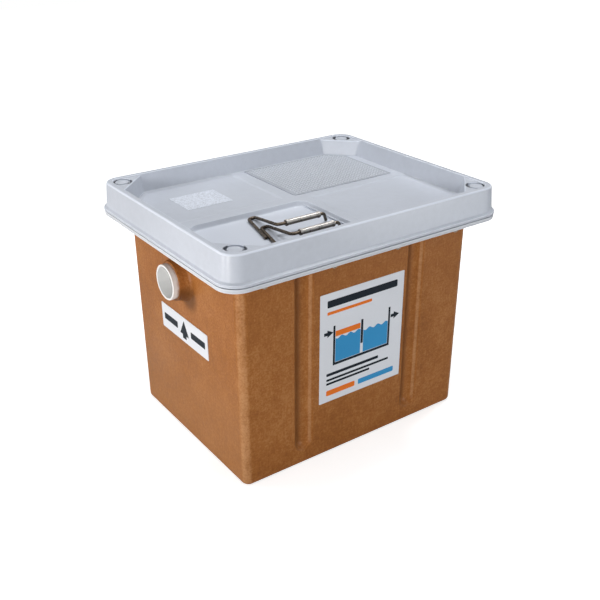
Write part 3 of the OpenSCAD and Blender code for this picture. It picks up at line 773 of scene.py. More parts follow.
class PointTree(Tree):
    """A geometry node tree that stands a shape on every point of a mesh."""

    def __init__(self, name, *lengths):
        super().__init__(bpy.data.node_groups.new(name, "GeometryNodeTree"))
        kinds = {"Geometry": "NodeSocketGeometry", "Material": "NodeSocketMaterial"}
        self.keys = {}
        for key in ("Geometry", *lengths, "Material"):
            kind = kinds.get(key, "NodeSocketFloat")
            made = self.tree.interface.new_socket(name=key, in_out="INPUT", socket_type=kind)
            self.keys[key] = made.identifier
        self.tree.interface.new_socket(name="Geometry", in_out="OUTPUT", socket_type=kinds["Geometry"])
        self.given = self.node("NodeGroupInput")

    def stand(self, sockets):
        """Stands the instance on its points and ends the tree."""
        stood = self.node("GeometryNodeInstanceOnPoints", None, sockets)
        real = self.node("GeometryNodeRealizeInstances", None, {"Geometry": stood})
        material = self.given.out("Material")
        done = self.node("GeometryNodeSetMaterial", None, {"Geometry": real, "Material": material})
        self.node("NodeGroupOutput", None, {0: done})

    def fit(self, piece, finish_name, lengths):
        """Runs the tree on a piece that is only points, with lengths in millimetres."""
        modifier = piece.modifiers.new(self.tree.name, "NODES")
        modifier.node_group = self.tree
        modifier[self.keys["Material"]] = finish(finish_name)
        for key, value in lengths.items():
            modifier[self.keys[key]] = value * MM
        settle(piece)


class TrapStep:
    """What the operators share: each builds its pieces from the sizes in millimetres."""

    def execute(self, context):
        self.sizes = in_mm(context.scene.trap_sizes)
        self.build()
        return {"FINISHED"}


class TRAP_OT_stage(TrapStep, bpy.types.Operator):
    """Makes the floor, the lights and the camera"""

    bl_idname = "trap.stage"
    bl_label = "Studio"

    def build(self):
        scene = bpy.context.scene
        scene.view_settings.view_transform = "Standard"
        self.camera(scene)
        self.floor()
        self.world(scene)
        for lamp in LAMPS:
            self.lamp(scene, *lamp)

    def camera(self, scene):
        """A camera fitted to the photograph."""
        az, el, roll = (math.radians(v) for v in CAMERA_ANGLES)
        turn = Matrix.Rotation(az, 4, "Z") @ Matrix.Rotation(math.pi / 2 - el, 4, "X")
        turn = turn @ Matrix.Rotation(roll, 4, "Z")
        data = bpy.data.cameras.new("camera")
        data.sensor_width = 36
        data.lens = CAMERA_LENS
        made = bpy.data.objects.new("camera", data)
        made.matrix_world = Matrix.Translation(CAMERA_AIM) @ turn @ Matrix.Translation(CAMERA_PLACE)
        scene.collection.objects.link(made)
        scene.camera = made

    def floor(self):
        """A pale floor that glows to white away from the trap and keeps its shadow."""
        made = Shape()
        corners = [Vector((x, y, 0)) * FLOOR_REACH for x, y in ((-1, -1), (1, -1), (1, 1), (-1, 1))]
        made.bm.faces.new(made.verts(corners))
        floor = made.piece("studio_floor")
        settle(floor)
        paper = Finish("studio_paper")
        grain = paper.noise(3.0, 2, 0.5)
        base = paper.ramp(grain, (0.3, (0.66, 0.66, 0.66)), (0.7, (0.7, 0.7, 0.7)))
        paper.set(base=base, rough=0.9, specular=0.0)
        light = paper.node("ShaderNodeLightPath", output="Is Camera Ray")
        seen = light + light.out("Is Transmission Ray")
        away = paper.node("ShaderNodeVectorMath", {"operation": "LENGTH"}, {0: paper.place}, "Value")
        far = 0.72 + 0.28 * paper.share(away, 0.5, 1.6)
        glow = paper.node("ShaderNodeEmission", None, {"Color": (1, 1, 1, 1), "Strength": seen * far})
        both = paper.node("ShaderNodeAddShader", None, {0: Port(paper, paper.shader.outputs[0]), 1: glow})
        end = paper.tree.nodes["Material Output"]
        paper.tree.links.new(both.socket, end.inputs["Surface"])
        floor.data.materials.append(paper.material)

    def world(self, scene):
        """A world that is white to the camera and dim to the surfaces."""
        world = bpy.data.worlds.new("studio_world")
        scene.world = world
        world.use_nodes = True
        air = Tree(world.node_tree)
        world.node_tree.nodes.clear()
        light = air.node("ShaderNodeLightPath", output="Is Camera Ray")
        seen = light + light.out("Is Glossy Ray") * 0.35 + light.out("Is Transmission Ray")
        shell = air.node("ShaderNodeBackground", None, {"Color": (1, 1, 1, 1), "Strength": 1.0})
        soft = air.node("ShaderNodeBackground", None, {"Color": (0.97, 0.985, 1.0, 1), "Strength": 0.04})
        mixed = air.node("ShaderNodeMixShader", None, {0: seen, 1: soft, 2: shell})
        air.node("ShaderNodeOutputWorld", None, {"Surface": mixed})

    def lamp(self, scene, name, place, size, power, tint):
        """A round lamp turned towards the trap."""
        data = bpy.data.lights.new(name, "AREA")
        data.shape = "DISK"
        data.size = size
        data.energy = power
        data.color = tint
        made = bpy.data.objects.new(name, data)
        aim = Vector(LAMP_AIM) - Vector(place)
        made.matrix_world = Matrix.Translation(place) @ aim.to_track_quat("-Z", "Y").to_matrix().to_4x4()
        scene.collection.objects.link(made)


class TRAP_OT_tank(TrapStep, bpy.types.Operator):
    """Makes the fluted tank with its flange and pipe collars"""

    bl_idname = "trap.tank"
    bl_label = "Tank"

    def build(self):
        wall, flange = self.sizes["tank_wall"], self.sizes["flange_width"]
        # Heights of the wall's rings, closest where the flutes run out; then the flange, by inset and height
        heights = [24, 36] + [42 + 3.2 * k for k in range(13)] + [96, 160, 300, 420, 500, FLANGE_UNDER - 5]
        edge, under, top = flange - 1.6, FLANGE_UNDER, TANK_HIGH.z
        rings = self.base_rings(0, BASE_ROUND) + [self.ring(0, z, 1) for z in heights]
        rings += [self.ring(*at) for at in (
            (0, under - 1.5, 1), (-1.5, under, 1), (-5, under, 0),
            (-edge, under, 0), (-flange + 0.4, under + 0.5, 0), (-flange, under + 2, 0),
            (-flange, top - 2, 0), (-flange + 0.4, top - 0.5, 0), (-edge, top, 0),
            (wall - 3, top, 0), (wall - 1.4, top, 1), (wall - 0.3, top - 0.6, 1), (wall, top - 2, 1))]
        rings += [self.ring(wall, z, 1) for z in reversed(heights)]
        rings += reversed(self.base_rings(wall, BASE_ROUND - wall))
        made = Shape()
        loops = made.loft(rings)
        made.fill([loops[0]], -1)
        made.fill([loops[-1]], 1)
        tank = made.piece("tank_shell", 38)
        tank.modifiers.clear()
        for end, z, _ in ENDS:
            self.bore(tank, end, z)
        settle(tank)
        smooth(tank, 38)
        settle(tank)
        collars = Shape()
        for end, z, _ in ENDS:
            self.collar(collars, end, z)
        made = bmesh.new()
        made.from_mesh(tank.data)
        ring = collars.piece("collars", 50)
        settle(ring)
        made.from_mesh(ring.data)
        made.to_mesh(tank.data)
        made.free()
        bpy.data.objects.remove(ring)
        smooth(tank, 40)
        hand_over(tank, "tank", "laminate", ["tank"])

    def base_rings(self, inset, radius):
        """Rings round the edge of the base, from its flat up to the wall."""
        angles = [math.pi / 2 * k / 5 for k in range(6)]
        return [self.ring(inset + radius * (1 - math.sin(a)), inset + radius * (1 - math.cos(a)), 0)
                for a in angles]

    def ring(self, inset, z, fluted):
        """A ring of the tank, pressed in along the flutes where it is fluted."""
        half_x, half_y = tank_half(self.sizes, z)
        half_x, half_y = half_x - inset, half_y - inset
        radius = max(TANK_CORNER - inset - self.sizes["tank_draft"] * (1 - z / TANK_HIGH.z), 4)
        quarter = [Vector((half_x, y, z)) for y in (70, 150)]
        quarter += arc(half_x - radius, half_y - radius, radius, z, 9)
        middle, half = self.sizes["flute_place"], self.sizes["flute_width"] / 2
        across = [290, 250] + [middle + (half + 9) * (1 - k / 24) for k in range(49)] + [120, 50]
        for x in across:
            quarter.append(Vector((x, half_y - (self.flute(x, z) if fluted else 0), z)))
        return all_quarters(quarter)

    def flute(self, x, z):
        """Depth of the flutes at a place on a long wall, with softened edges."""
        half, depth = self.sizes["flute_width"] / 2, self.sizes["flute_depth"]
        foot = self.sizes["flute_foot"] + half
        radius = (half * half + depth * depth) / (2 * depth)
        away = math.hypot(x - self.sizes["flute_place"], max(foot - z, 0))
        raw = math.sqrt(max(radius * radius - away * away, 0)) - (radius - depth) - max(away - radius, 0)
        return (raw + math.sqrt(raw * raw + FLUTE_SOFT)) / 2 if raw > FLUTE_FADE else 0

    def bore(self, tank, end, z):
        """Cuts the hole that a pipe goes through."""
        half_x = tank_half(self.sizes, z)[0]
        cutter = Shape()
        cutter.loft(turned([(0, -14), (HOLE_R, -14), (HOLE_R, 12), (0, 12)], end_place(end, half_x, z)))
        tool = cutter.piece("bore_cutter")
        settle(tool)
        cut = tank.modifiers.new("Bore", "BOOLEAN")
        cut.operation = "DIFFERENCE"
        cut.solver = "EXACT"
        cut.object = tool
        settle(tank)
        bpy.data.objects.remove(tool)

    def collar(self, made, end, z):
        """Laminate built up round a pipe, flaring into the wall."""
        half_x = tank_half(self.sizes, z)[0]
        profile = [(HOLE_R, -2), (62, -2), (58.4, 0.6), (55, 5), (52.2, 13), (50.6, 21), (49.3, COLLAR_END),
                   (HOLE_R, COLLAR_END)]
        rings = turned(profile, end_place(end, half_x, z), [0, 0, 3, 6, 10, 8, 3.2, 0.8], 56)
        made.loft(rings, close=True)


class TRAP_OT_frame(TrapStep, bpy.types.Operator):
    """Makes the frame under the lid, with its bolts"""

    bl_idname = "trap.frame"
    bl_label = "Lid frame and bolts"

    def build(self):
        low, base, rise = FRAME_LOW.z, FRAME_LOW.z + 10, GASKET_LOW.z
        out_x, out_y = FRAME_HIGH.x, FRAME_HIGH.y
        wall, land = self.sizes["tank_wall"], self.sizes["flange_width"] + 5
        open_x, open_y, open_r = WALL_X - wall, WALL_Y - wall, TANK_CORNER - wall
        # Half length, half width, corner radius, height and bend of each ring, from the opening outwards
        section = [
            (open_x, open_y, open_r, low + 14, 0), (open_x, open_y, open_r, low, 1),
            (WALL_X + land, WALL_Y + land, TANK_CORNER + land, low, 1),
            (WALL_X + land, WALL_Y + land, TANK_CORNER + land, low + 5, 1.5),
            (out_x - 5, out_y - 5, 48, low + 5, 1.5), (out_x - 5, out_y - 5, 48, low, 1),
            (out_x - 1.2, out_y - 1.2, 52, low, 1.6), (out_x - 0.6, out_y - 0.6, 52.4, low + 4.4, 0.8),
            (out_x, out_y, 53, low + 5.4, 0.8), (out_x, out_y, 53, base, 1.8),
            (WALL_X, WALL_Y, TANK_CORNER, base, 3), (WALL_X, WALL_Y, TANK_CORNER, rise, 1.2),
            (open_x, open_y, open_r, rise, 1.2),
        ]
        rings = [rect_ring(x, y, r, z) for x, y, r, z, _ in section]
        made = Shape()
        made.loft(stations(rings, [s[4] for s in section]), close=True)
        piece = made.piece("lid_frame")
        mark_edge_highlights(piece)
        hand_over(piece, "tank", "frame_grey", ["frame"])
        dress(["frame_seal", "lid_gasket"], "rubber")
        self.bolts(base)

    def bolts(self, base):
        """Bolts, washers and nuts, all from one node tree on the bolts' places."""
        _, high = (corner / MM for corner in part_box("frame_washers"))
        end_x, side_y = high.x - WASHER_R, high.y - WASHER_R
        half, end_y = WALL_X - BOLT_INSET_X, WALL_Y - BOLT_INSET_Y
        places = [(half * (2 * i / 3 - 1), s * side_y) for i in range(4) for s in (-1, 1)]
        places += [(s * end_x, t * end_y) for s in (-1, 1) for t in (-1, 1)]
        tree = PointTree("Bolts on places", "Diameter", "Grip")
        bolt, grip = tree.given.out("Diameter"), tree.given.out("Grip")

        def turned_part(sides, wide, high_by, at):
            part = tree.node("GeometryNodeMeshCylinder", {"fill_type": "NGON"},
                             {"Vertices": sides, "Radius": bolt * wide, "Depth": high_by})
            up = tree.node("ShaderNodeCombineXYZ", None, {"Z": at})
            return tree.node("GeometryNodeTransform", None, {"Geometry": part, "Translation": up})

        head = turned_part(6, 0.90, bolt * 0.65, bolt * 0.325)
        flange = turned_part(24, 0.98, bolt * 0.12, bolt * 0.06)
        washer = turned_part(24, 1.05, bolt * 0.2, grip * -1 - bolt * 0.1)
        nut = turned_part(6, 0.92, bolt * 0.8, grip * -1 - bolt * 0.6)
        shank = turned_part(16, 0.5, grip + bolt * 1.3, (grip + bolt * 1.3) * -0.5)
        joined = tree.node("GeometryNodeJoinGeometry")
        for part in (head, flange, washer, nut, shank):
            tree.tree.links.new(part.socket, joined.socket.node.inputs[0])
        tree.stand({"Points": tree.given, "Instance": joined})
        piece = points_piece("frame_fasteners", [(x, y, base) for x, y in places])
        tree.fit(piece, "steel", {"Diameter": BOLT_SIZE, "Grip": base - FLANGE_UNDER})
        smooth(piece, 30)
        hand_over(piece, "tank", "steel", ["frame_bolts", "frame_washers", "frame_nuts"])


class LidPlan:
    """Rings of the lid, by quarter: round outside, cut off by the gussets inside."""

    turn = 5.0

    def __init__(self, sizes):
        self.sizes = sizes
        spread = sizes["lid_draft"] + sizes["lip_out"]
        self.half_x, self.half_y = LID_HIGH.x - spread, LID_HIGH.y - spread
        self.floor = LID_TOP - sizes["tray_depth"]
        self.gusset = LID_TOP - sizes["gusset_drop"]
        self.corner_a, self.corner_b = self.cut(self.gusset, 0)

    def cut(self, z, grow):
        """The two ends of the gusset in the +X +Y quarter at a height, with the tray grown by a distance."""
        slope = self.sizes["rim_width"] + self.sizes["tray_run"] * (LID_TOP - z) / self.sizes["tray_depth"]
        x, y = self.half_x - slope + grow, self.half_y - slope + grow
        total = self.half_x + self.half_y - self.sizes["gusset_leg"]
        total -= math.sqrt(2) * (GUSSET_LEAN * (self.gusset - z) - grow)
        return Vector((x, total - x, z)), Vector((total - y, y, z))

    def inner(self, z, grow=0):
        """The tray's outline at a height, grown outwards by a distance."""
        start, end = self.cut(z, grow)
        slant = (end - start).normalized() * self.turn
        first = bend(start - Vector((0, self.turn, 0)), start, start + slant)
        last = bend(end - slant, end, end - Vector((self.turn, 0, 0)))
        middle = [first[-1].lerp(last[0], (k + 1) / 14) for k in range(13)]
        return all_quarters(first + middle + last)

    def outer(self, inset, z):
        """The lid's round outline, inset by a distance."""
        x, y = self.half_x - inset, self.half_y - inset
        centre_x, centre_y = self.half_x - LID_CORNER, self.half_y - LID_CORNER
        low, high, turn = self.corner_a.y, self.corner_b.x, self.turn
        quarter = [Vector((x, low + turn * (k / 2 - 1), z)) for k in range(5)]
        quarter += [Vector((x, low + turn + (centre_y - low - turn) * t, z)) for t in (0.33, 0.67)]
        quarter += arc(centre_x, centre_y, LID_CORNER - inset, z, 8)
        quarter += [Vector((high + turn + (centre_x - high - turn) * t, y, z)) for t in (0.67, 0.33)]
        quarter += [Vector((high + turn * (1 - k / 2), y, z)) for k in range(5)]
        return all_quarters(quarter)


class TRAP_OT_lid(TrapStep, bpy.types.Operator):
    """Makes the tray lid: skirt, lip, rim, gussets, wells, panels and key pocket"""

    bl_idname = "trap.lid"
    bl_label = "Tray lid"

    def build(self):
        sizes = self.sizes
        plan = LidPlan(sizes)
        made = Shape()
        low = LID_LOW.z
        lip = sizes["lid_draft"] + sizes["lip_out"]
        drop = sizes["rim_width"] + sizes["tray_run"] * sizes["gusset_drop"] / sizes["tray_depth"]
        under = plan.floor - FLOOR_THICK
        # Rings with their bends, from the underside round the skirt and the rim to the tray's floor
        section = [
            (plan.inner(under, 2), 0), (plan.inner(under, 6), 5), (plan.inner(plan.gusset - 5, 6), 3),
            (plan.outer(5, plan.gusset - 5), 3), (plan.outer(0.5, low), 1),
            (plan.outer(-lip, low), 0.9), (plan.outer(-lip, low + 6.4), 1.6),
            (plan.outer(-sizes["lid_draft"], low + 10), 4),
            (plan.outer(0, LID_TOP), 5), (plan.outer(sizes["rim_width"], LID_TOP), 2.6),
            (plan.outer(drop, plan.gusset), 2), (plan.inner(plan.gusset), 3.2), (plan.inner(plan.floor), 7),
            (plan.inner(plan.floor, -4), 0),
        ]
        radii = [s[1] for s in section]
        flat = sum(BEND_STEPS + 1 if r else 1 for r in radii[:11]) - 1
        loops = made.loft(stations([s[0] for s in section], radii), skip=(flat,))
        self.gussets(made, plan, loops[flat], loops[flat + 1])
        depth = sizes["panel_depth"]
        # Inset, rise and bend of each step of an edge
        panel = [(-1.2, 0, 0), (0.3, 0, 2.4), (8, -depth, 4), (12, -depth, 0)]
        bed = [(-3.2, 0, 0), (-2, 0, 0.9), (-2, -2, 0.3), (1, -2, 0)]
        holes = [self.sunken(made, plan, "left", [10, 10, 10, 8, 8], panel),
                 self.sunken(made, plan, "right", [10, 8, 8, 10, 10], panel),
                 self.sunken(made, plan, "tread", [8, 6, 6, 6, 6], bed)]
        pocket_top, pocket_under = self.pocket(made, plan, sizes["pocket_depth"])
        made.fill([loops[-1], *holes, pocket_top], 1)
        made.fill([loops[0], pocket_under], -1)
        for x, y in RIBS:
            made.box((-x, -y, under - RIB_DEPTH), (x, y, under + 1))
        lid = made.piece("tray_lid", 42)
        mark_edge_highlights(lid)
        hand_over(lid, "lid", "lid_grey", ["lid"])

    def gussets(self, made, plan, outer, inner):
        """Flat tops of the corner gussets, each with a well for its stud."""
        each = len(outer) // 4
        for i, (sx, sy) in enumerate(((1, 1), (-1, 1), (-1, -1), (1, -1))):
            at = slice(i * each, (i + 1) * each)
            loop = outer[at] + inner[at][-2:0:-1]
            stud_x, stud_y = sx * (plan.half_x - STUD_INSET), sy * (plan.half_y - STUD_INSET)
            centre = Matrix.Translation((stud_x, stud_y, plan.gusset))
            well = made.loft(turned([(26.6, 0), (25, -0.2), (25, -14), (8, -14)], centre, [0, 1.8, 3, 0]))
            made.fill([loop, well[0]], 1)
            made.loft(turned([(0, -19), (30, -19), (30, -5)], centre, [0, 4, 0]))

    def sunken(self, made, plan, name, radii, edge):
        """A shallow panel in the floor; gives the loop of its edge."""
        loops = made.steps(PANELS[name], radii, plan.floor, edge)
        made.fill([loops[-1]], 1)
        return loops[0]

    def pocket(self, made, plan, depth):
        """The key pocket in its raised bead; gives its loops in the floor and in the underside."""
        edge = [(-10, 0, 0), (-8.4, 0, 1.6), (-6.4, 2, 2.4), (-1, 2, 2.6), (8, -depth, 6), (16, -depth, 0)]
        top = self.sunken(made, plan, "pocket", POCKET_CORNERS, edge)
        edge = [(12, -depth - 5, 0), (4, -depth - 5, 4), (-2.5, -FLOOR_THICK, 2), (-4, -FLOOR_THICK, 0)]
        under = made.steps(PANELS["pocket"], POCKET_CORNERS, plan.floor, edge)
        made.fill([under[0]], -1)
        return top, under[-1]


class TRAP_OT_tread(TrapStep, bpy.types.Operator):
    """Makes the anti-slip panel and its lugs"""

    bl_idname = "trap.tread"
    bl_label = "Anti-slip panel"

    def build(self):
        low, high = TREAD_LOW.z, TREAD_HIGH.z
        made = Shape()
        edge = [(6, low, 0), (0, low, 0.5), (0, high, 1.2), (3, high, 0)]
        loops = made.steps(PANELS["tread"], [6, 4, 4, 4, 4], 0, edge)
        made.fill([loops[0]], -1)
        made.fill([loops[-1]], 1)
        hand_over(made.piece("tread_plate"), "lid", "tread_grey", ["tread_panel"])
        self.lugs()

    def lugs(self):
        """Lugs in two crossed directions over the panel, from one node tree."""
        sizes = self.sizes
        tree = PointTree("Crossed lugs", "Length", "Width", "Height", "Corner Cut")
        given = tree.given
        place = tree.node("GeometryNodeInputPosition")
        split = tree.node("ShaderNodeSeparateXYZ", None, {0: place})
        outside = (split + split.out("Y")) > given.out("Corner Cut")
        kept = tree.node("GeometryNodeDeleteGeometry", {"domain": "POINT"},
                         {"Geometry": given, "Selection": outside})
        turn = tree.node("GeometryNodeInputNamedAttribute", {"data_type": "FLOAT"}, {"Name": "turn"})
        spin = tree.node("ShaderNodeCombineXYZ", None, {"Z": turn})
        lug = tree.node("GeometryNodeMeshCone", {"fill_type": "NGON"},
                        {"Vertices": 8, "Radius Top": 0.62, "Radius Bottom": 1.0, "Depth": 1.0})
        half_long, half_wide = given.out("Length") * 0.5, given.out("Width") * 0.5
        scale = tree.node("ShaderNodeCombineXYZ", None,
                          {"X": half_long, "Y": half_wide, "Z": given.out("Height")})
        shaped = tree.node("GeometryNodeTransform", None, {"Geometry": lug, "Scale": scale})
        tree.stand({"Points": kept, "Instance": shaped, "Rotation": spin})
        pitch = sizes["lug_pitch"]
        across = int((TREAD_HIGH.x - TREAD_LOW.x - 8) / pitch)
        along = int((TREAD_HIGH.y - TREAD_LOW.y - 8) / pitch)
        middle = (TREAD_HIGH + TREAD_LOW) / 2
        cells = [(i, j) for i in range(across) for j in range(along)]
        places = [(middle.x + (i - (across - 1) / 2) * pitch, middle.y + (j - (along - 1) / 2) * pitch)
                  for i, j in cells]
        piece = points_piece("tread_lugs", [(x, y, TREAD_HIGH.z) for x, y in places])
        note(piece, "turn", [math.radians(45 if (i + j) % 2 else -45) for i, j in cells])
        tree.fit(piece, "lug_grey", {
            "Length": sizes["lug_length"], "Width": sizes["lug_width"], "Height": sizes["lug_height"],
            "Corner Cut": sum(PANELS["tread"][2]) - LUG_MARGIN})
        hand_over(piece, "lid", "lug_grey")


class TRAP_OT_studs(TrapStep, bpy.types.Operator):
    """Makes the four lifting studs and finishes their nuts"""

    bl_idname = "trap.studs"
    bl_label = "Lifting studs"

    def build(self):
        for i in range(1, 5):
            low, high = (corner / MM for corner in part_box(f"lifting_stud_{i}"))
            centre = Matrix.Translation(((low.x + high.x) / 2, (low.y + high.y) / 2, high.z))
            profile = [(0, -29), (6, -29), (6, -14), (9, -14), (9, -9), (18, -9), (18, -0.4), (13, 0),
                       (10.5, -0.9), (0, -0.9)]
            made = Shape()
            made.loft(turned(profile, centre, [0, 1, 0.3, 0.3, 0.8, 1.2, 2.4, 1.4, 1.4, 0]))
            hand_over(made.piece(f"stud_{i}", 35), "lid", "lid_grey", [f"lifting_stud_{i}"])
        dress(["stud_nuts"], "steel")


class TRAP_OT_keys(TrapStep, bpy.types.Operator):
    """Makes the two lifting keys with their sleeves"""

    bl_idname = "trap.keys"
    bl_label = "Lifting keys"

    # Points of the rod's line above the pocket's floor, and how far each bend is cut back
    bends = [(-204, -164, 4.1), (-172, -36, 4.1), (-153, -36, 5.1), (-170, -161, 28), (-36, -161, 28),
             (-21, -149, 3.0)]
    cuts = [0, 9, 9, 14, 9, 0]
    step = Vector((-8, -68, 0))

    def build(self):
        sizes = self.sizes
        pocket = LID_TOP - sizes["tray_depth"] - sizes["pocket_depth"]
        rod, sleeve = sizes["key_rod"] / 2, sizes["key_sleeve"] / 2
        for i in range(2):
            points = [Vector((x, y, pocket + z)) + self.step * i for x, y, z in self.bends]
            made = Shape()
            made.sweep(self.route(points), rod)
            piece = made.piece(f"key_rod_{i + 1}", 50)
            self.mark_underside(piece)
            hand_over(piece, "lid", "key_rod", [f"lifting_key_{i + 1}"])
            low, high = (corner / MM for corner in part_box(f"key_sleeve_{i + 1}"))
            place = end_place(1, 0, 0)
            place.translation = Vector((low.x, (low.y + high.y) / 2, (low.z + high.z) / 2))
            long = high.x - low.x
            bore, waist = rod + 0.3, sleeve - 0.9
            profile = [(bore, 0), (sleeve, 0), (sleeve, 5), (waist, 6.5), (waist, long - 6.5),
                       (sleeve, long - 5), (sleeve, long), (bore, long)]
            made = Shape()
            made.loft(turned(profile, place, [0.4, 1.6, 0.6, 0.6, 0.6, 0.6, 1.6, 0.4], 28), close=True)
            piece = made.piece(f"key_grip_{i + 1}", 40)
            self.mark_underside(piece)
            hand_over(piece, "lid", "key_grip", [f"key_sleeve_{i + 1}"])

    def mark_underside(self, piece):
        """Notes how far each point of a key faces down, for the painted shade of its finish."""
        note(piece, "underside", [max(0.0, min(1.0, 0.9 - 2 * v.normal.z)) for v in piece.data.vertices])

    def route(self, points):
        """The rod's line with every bend rounded."""
        out = []
        for i, point in enumerate(points):
            cut = self.cuts[i]
            if not cut:
                out.append(point)
                continue
            start = point + (points[i - 1] - point).normalized() * cut
            end = point + (points[i + 1] - point).normalized() * cut
            out += bend(start, point, end, 8)
        return out


class TRAP_OT_pipes(TrapStep, bpy.types.Operator):
    """Makes the pipe stubs and finishes the tees and drop tubes"""

    bl_idname = "trap.pipes"
    bl_label = "Pipes"

    def build(self):
        for end, z, name in ENDS:
            low, high = (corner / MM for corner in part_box(name))
            inner, outer = (high.x, low.x) if end < 0 else (low.x, high.x)
            long = abs(outer - inner)
            line = tank_half(self.sizes, z)[0] + COLLAR_END - abs(inner)
            groove = PIPE_R - 0.6
            profile = [(BORE_R, 0), (PIPE_R, 0), (PIPE_R, line), (groove, line + 0.1), (groove, line + 1.4),
                       (PIPE_R, line + 1.5), (PIPE_R, long), (BORE_R, long)]
            radii = [0.6, 0.6, 0, 0, 0, 0, 1.4, 1.0]
            made = Shape()
            made.loft(turned(profile, end_place(end, abs(inner), z), radii, 64), close=True)
            stub = made.piece(name + "_stub", 40)
            away = [math.hypot(v.co.y / MM, v.co.z / MM - z) for v in stub.data.vertices]
            note(stub, "outer_wall", [1.0 if reach > PIPE_R - 2 else 0.0 for reach in away])
            hand_over(stub, "tank", "pvc_white", [name])
        dress(["outlet_tee", "outlet_drop_tube", "inlet_tee", "inlet_drop_tube"], "pvc_white")


class TRAP_OT_baffles(TrapStep, bpy.types.Operator):
    """Finishes the baffles and their guides inside the tank"""

    bl_idname = "trap.baffles"
    bl_label = "Baffles"

    def build(self):
        guides = [f"baffle_guide_{i}" for i in range(1, 5)]
        dress(["inlet_weir", "inlet_baffle", "outlet_baffle", *guides], "laminate")


def bar(left, low, right, high, radius=1.5):
    """A rounded bar of the labels, anticlockwise."""
    corners = [(left, low), (right, low), (right, high), (left, high)]
    return [(p.x, p.y) for p in outline(corners, [radius] * 4, 0, 0, 4)]


def wave(left, right, low, high, swell, waves):
    """A band whose upper edge is a row of waves."""
    count = 12 * waves
    crest = [(right + (left - right) * k / count, high + swell * math.sin(2 * math.pi * waves * k / count))
             for k in range(count + 1)]
    return [(left, low), (right, low)] + crest


def arrow(x, y, long, wide, turn):
    """An arrow with a square tail, pointing along +u before it is turned."""
    half, neck = wide / 2, long - wide * 0.9
    tail = 0.42 * half
    points = [(0, -tail), (neck, -tail), (neck, -half), (long, 0), (neck, half), (neck, tail), (0, tail)]
    c, s = math.cos(turn), math.sin(turn)
    return [(x + c * u - s * v, y + s * u + c * v) for u, v in points]


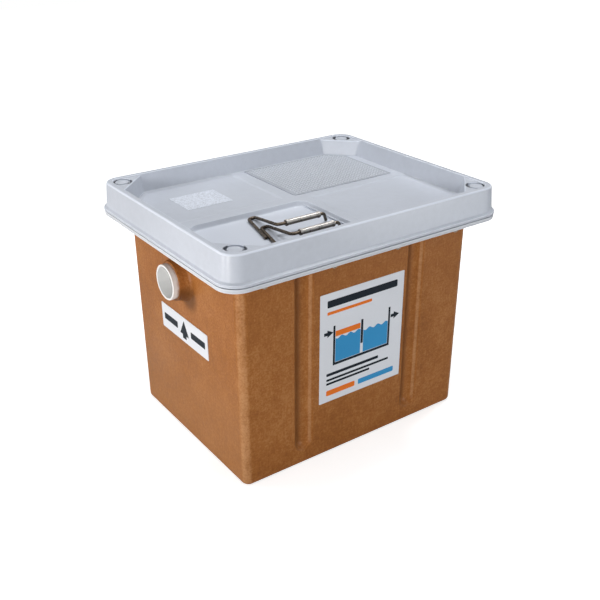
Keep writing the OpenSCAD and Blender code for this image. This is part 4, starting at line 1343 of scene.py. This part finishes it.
class TRAP_OT_labels(TrapStep, bpy.types.Operator):
    """Makes the front sheet, the end plate and the bare patch on the lid"""

    bl_idname = "trap.labels"
    bl_label = "Sheets and plates"

    def build(self):
        self.front()
        self.end()
        patch = Shape()
        floor = LID_TOP - self.sizes["tray_depth"] - self.sizes["panel_depth"]
        patch.prism(bar(*PATCH, 3), lambda u, v, h: Vector((u, v, floor + h)), 0.0, 0.5)
        hand_over(patch.piece("bare_patch", 30), "lid", "stippled_patch")

    def printed(self, name, polygons, place, low, high, ink):
        """Flat shapes of one colour, as one piece."""
        made = Shape()
        for polygon in polygons:
            made.prism(polygon, place, low, high)
        hand_over(made.piece(name, 30), "tank", ink)

    def front(self):
        """White sheet between the flutes, with a plain picture of a trap in section."""
        def place(u, v, h):
            z = SHEET_Z + v
            return Vector((u + SHEET_X, -tank_half(self.sizes, z)[1] - h, z))

        half_u, half_v = self.sizes["label_width"] / 2, self.sizes["label_height"] / 2
        sheet = [bar(-half_u, -half_v, half_u, half_v, 2.5)]
        self.printed("front_sheet", sheet, place, -0.4, 0.6, "sheet_white")
        dark = [
            bar(-109, 112, 109, 131, 3), bar(-90, -50, -84, 60), bar(84, -50, 90, 60), bar(-84, -50, 84, -43),
            bar(-4, -15, 3, 52), arrow(-118, 43, 28, 20, 0), arrow(92, 33, 28, 20, 0),
            bar(-109, -77, 56, -69), bar(-109, -91, 90, -85), bar(-109, -102, 28, -96),
        ]
        orange = [bar(-109, 93, 28, 101, 2), bar(-83, 29, -6, 44, 1), bar(-109, -133, -19, -118, 3)]
        blue = [wave(-83, -5, -42, 25, 3, 3), wave(4, 83, -42, 21, 3, 3), bar(-8, -133, 109, -118, 3)]
        for name, shapes in (("ink_dark", dark), ("ink_orange", orange), ("ink_blue", blue)):
            self.printed("front_" + name, shapes, place, 0.5, 0.75, name)

    def end(self):
        """White plate under the outlet, with an arrow between two bars."""
        def place(u, v, h):
            z = PLATE_Z + v
            return Vector((-tank_half(self.sizes, z)[0] - h, -u, z))

        plate = [bar(-PLATE_HALF_Y, -PLATE_HALF_Z, PLATE_HALF_Y, PLATE_HALF_Z, 2.5)]
        self.printed("end_plate", plate, place, -0.4, 1.2, "sheet_white")
        dark = [bar(-104, -9, -34, 9, 2), bar(34, -9, 104, 9, 2), arrow(0, -25, 50, 44, math.pi / 2)]
        self.printed("end_ink_dark", dark, place, 1.0, 1.4, "ink_dark")


OPERATORS = (TRAP_OT_stage, TRAP_OT_tank, TRAP_OT_frame, TRAP_OT_lid, TRAP_OT_tread, TRAP_OT_studs,
             TRAP_OT_keys, TRAP_OT_pipes, TRAP_OT_baffles, TRAP_OT_labels)


class TRAP_PT_panel(bpy.types.Panel):
    """Lists the trap's pieces, sizes and colours"""

    bl_label = "Grease trap"
    bl_idname = "TRAP_PT_panel"
    bl_space_type = "VIEW_3D"
    bl_region_type = "UI"
    bl_category = "Grease trap"

    def draw(self, context):
        for operator in OPERATORS:
            self.layout.operator(operator.bl_idname)
        for group in (context.scene.trap_sizes, context.scene.trap_colours):
            box = self.layout.box()
            for key in group.__annotations__:
                box.prop(group, key)


CLASSES = (TrapSizes, TrapColours, *OPERATORS, TRAP_PT_panel)


def register():
    for item in CLASSES:
        bpy.utils.register_class(item)
    bpy.types.Scene.trap_sizes = PointerProperty(type=TrapSizes)
    bpy.types.Scene.trap_colours = PointerProperty(type=TrapColours)


def unregister():
    del bpy.types.Scene.trap_colours
    del bpy.types.Scene.trap_sizes
    for item in reversed(CLASSES):
        bpy.utils.unregister_class(item)


def main():
    register()
    bpy.ops.trap.stage()
    bpy.ops.trap.tank()
    bpy.ops.trap.frame()
    bpy.ops.trap.lid()
    bpy.ops.trap.tread()
    bpy.ops.trap.studs()
    bpy.ops.trap.keys()
    bpy.ops.trap.pipes()
    bpy.ops.trap.baffles()
    bpy.ops.trap.labels()


if __name__ == "__main__":
    main()
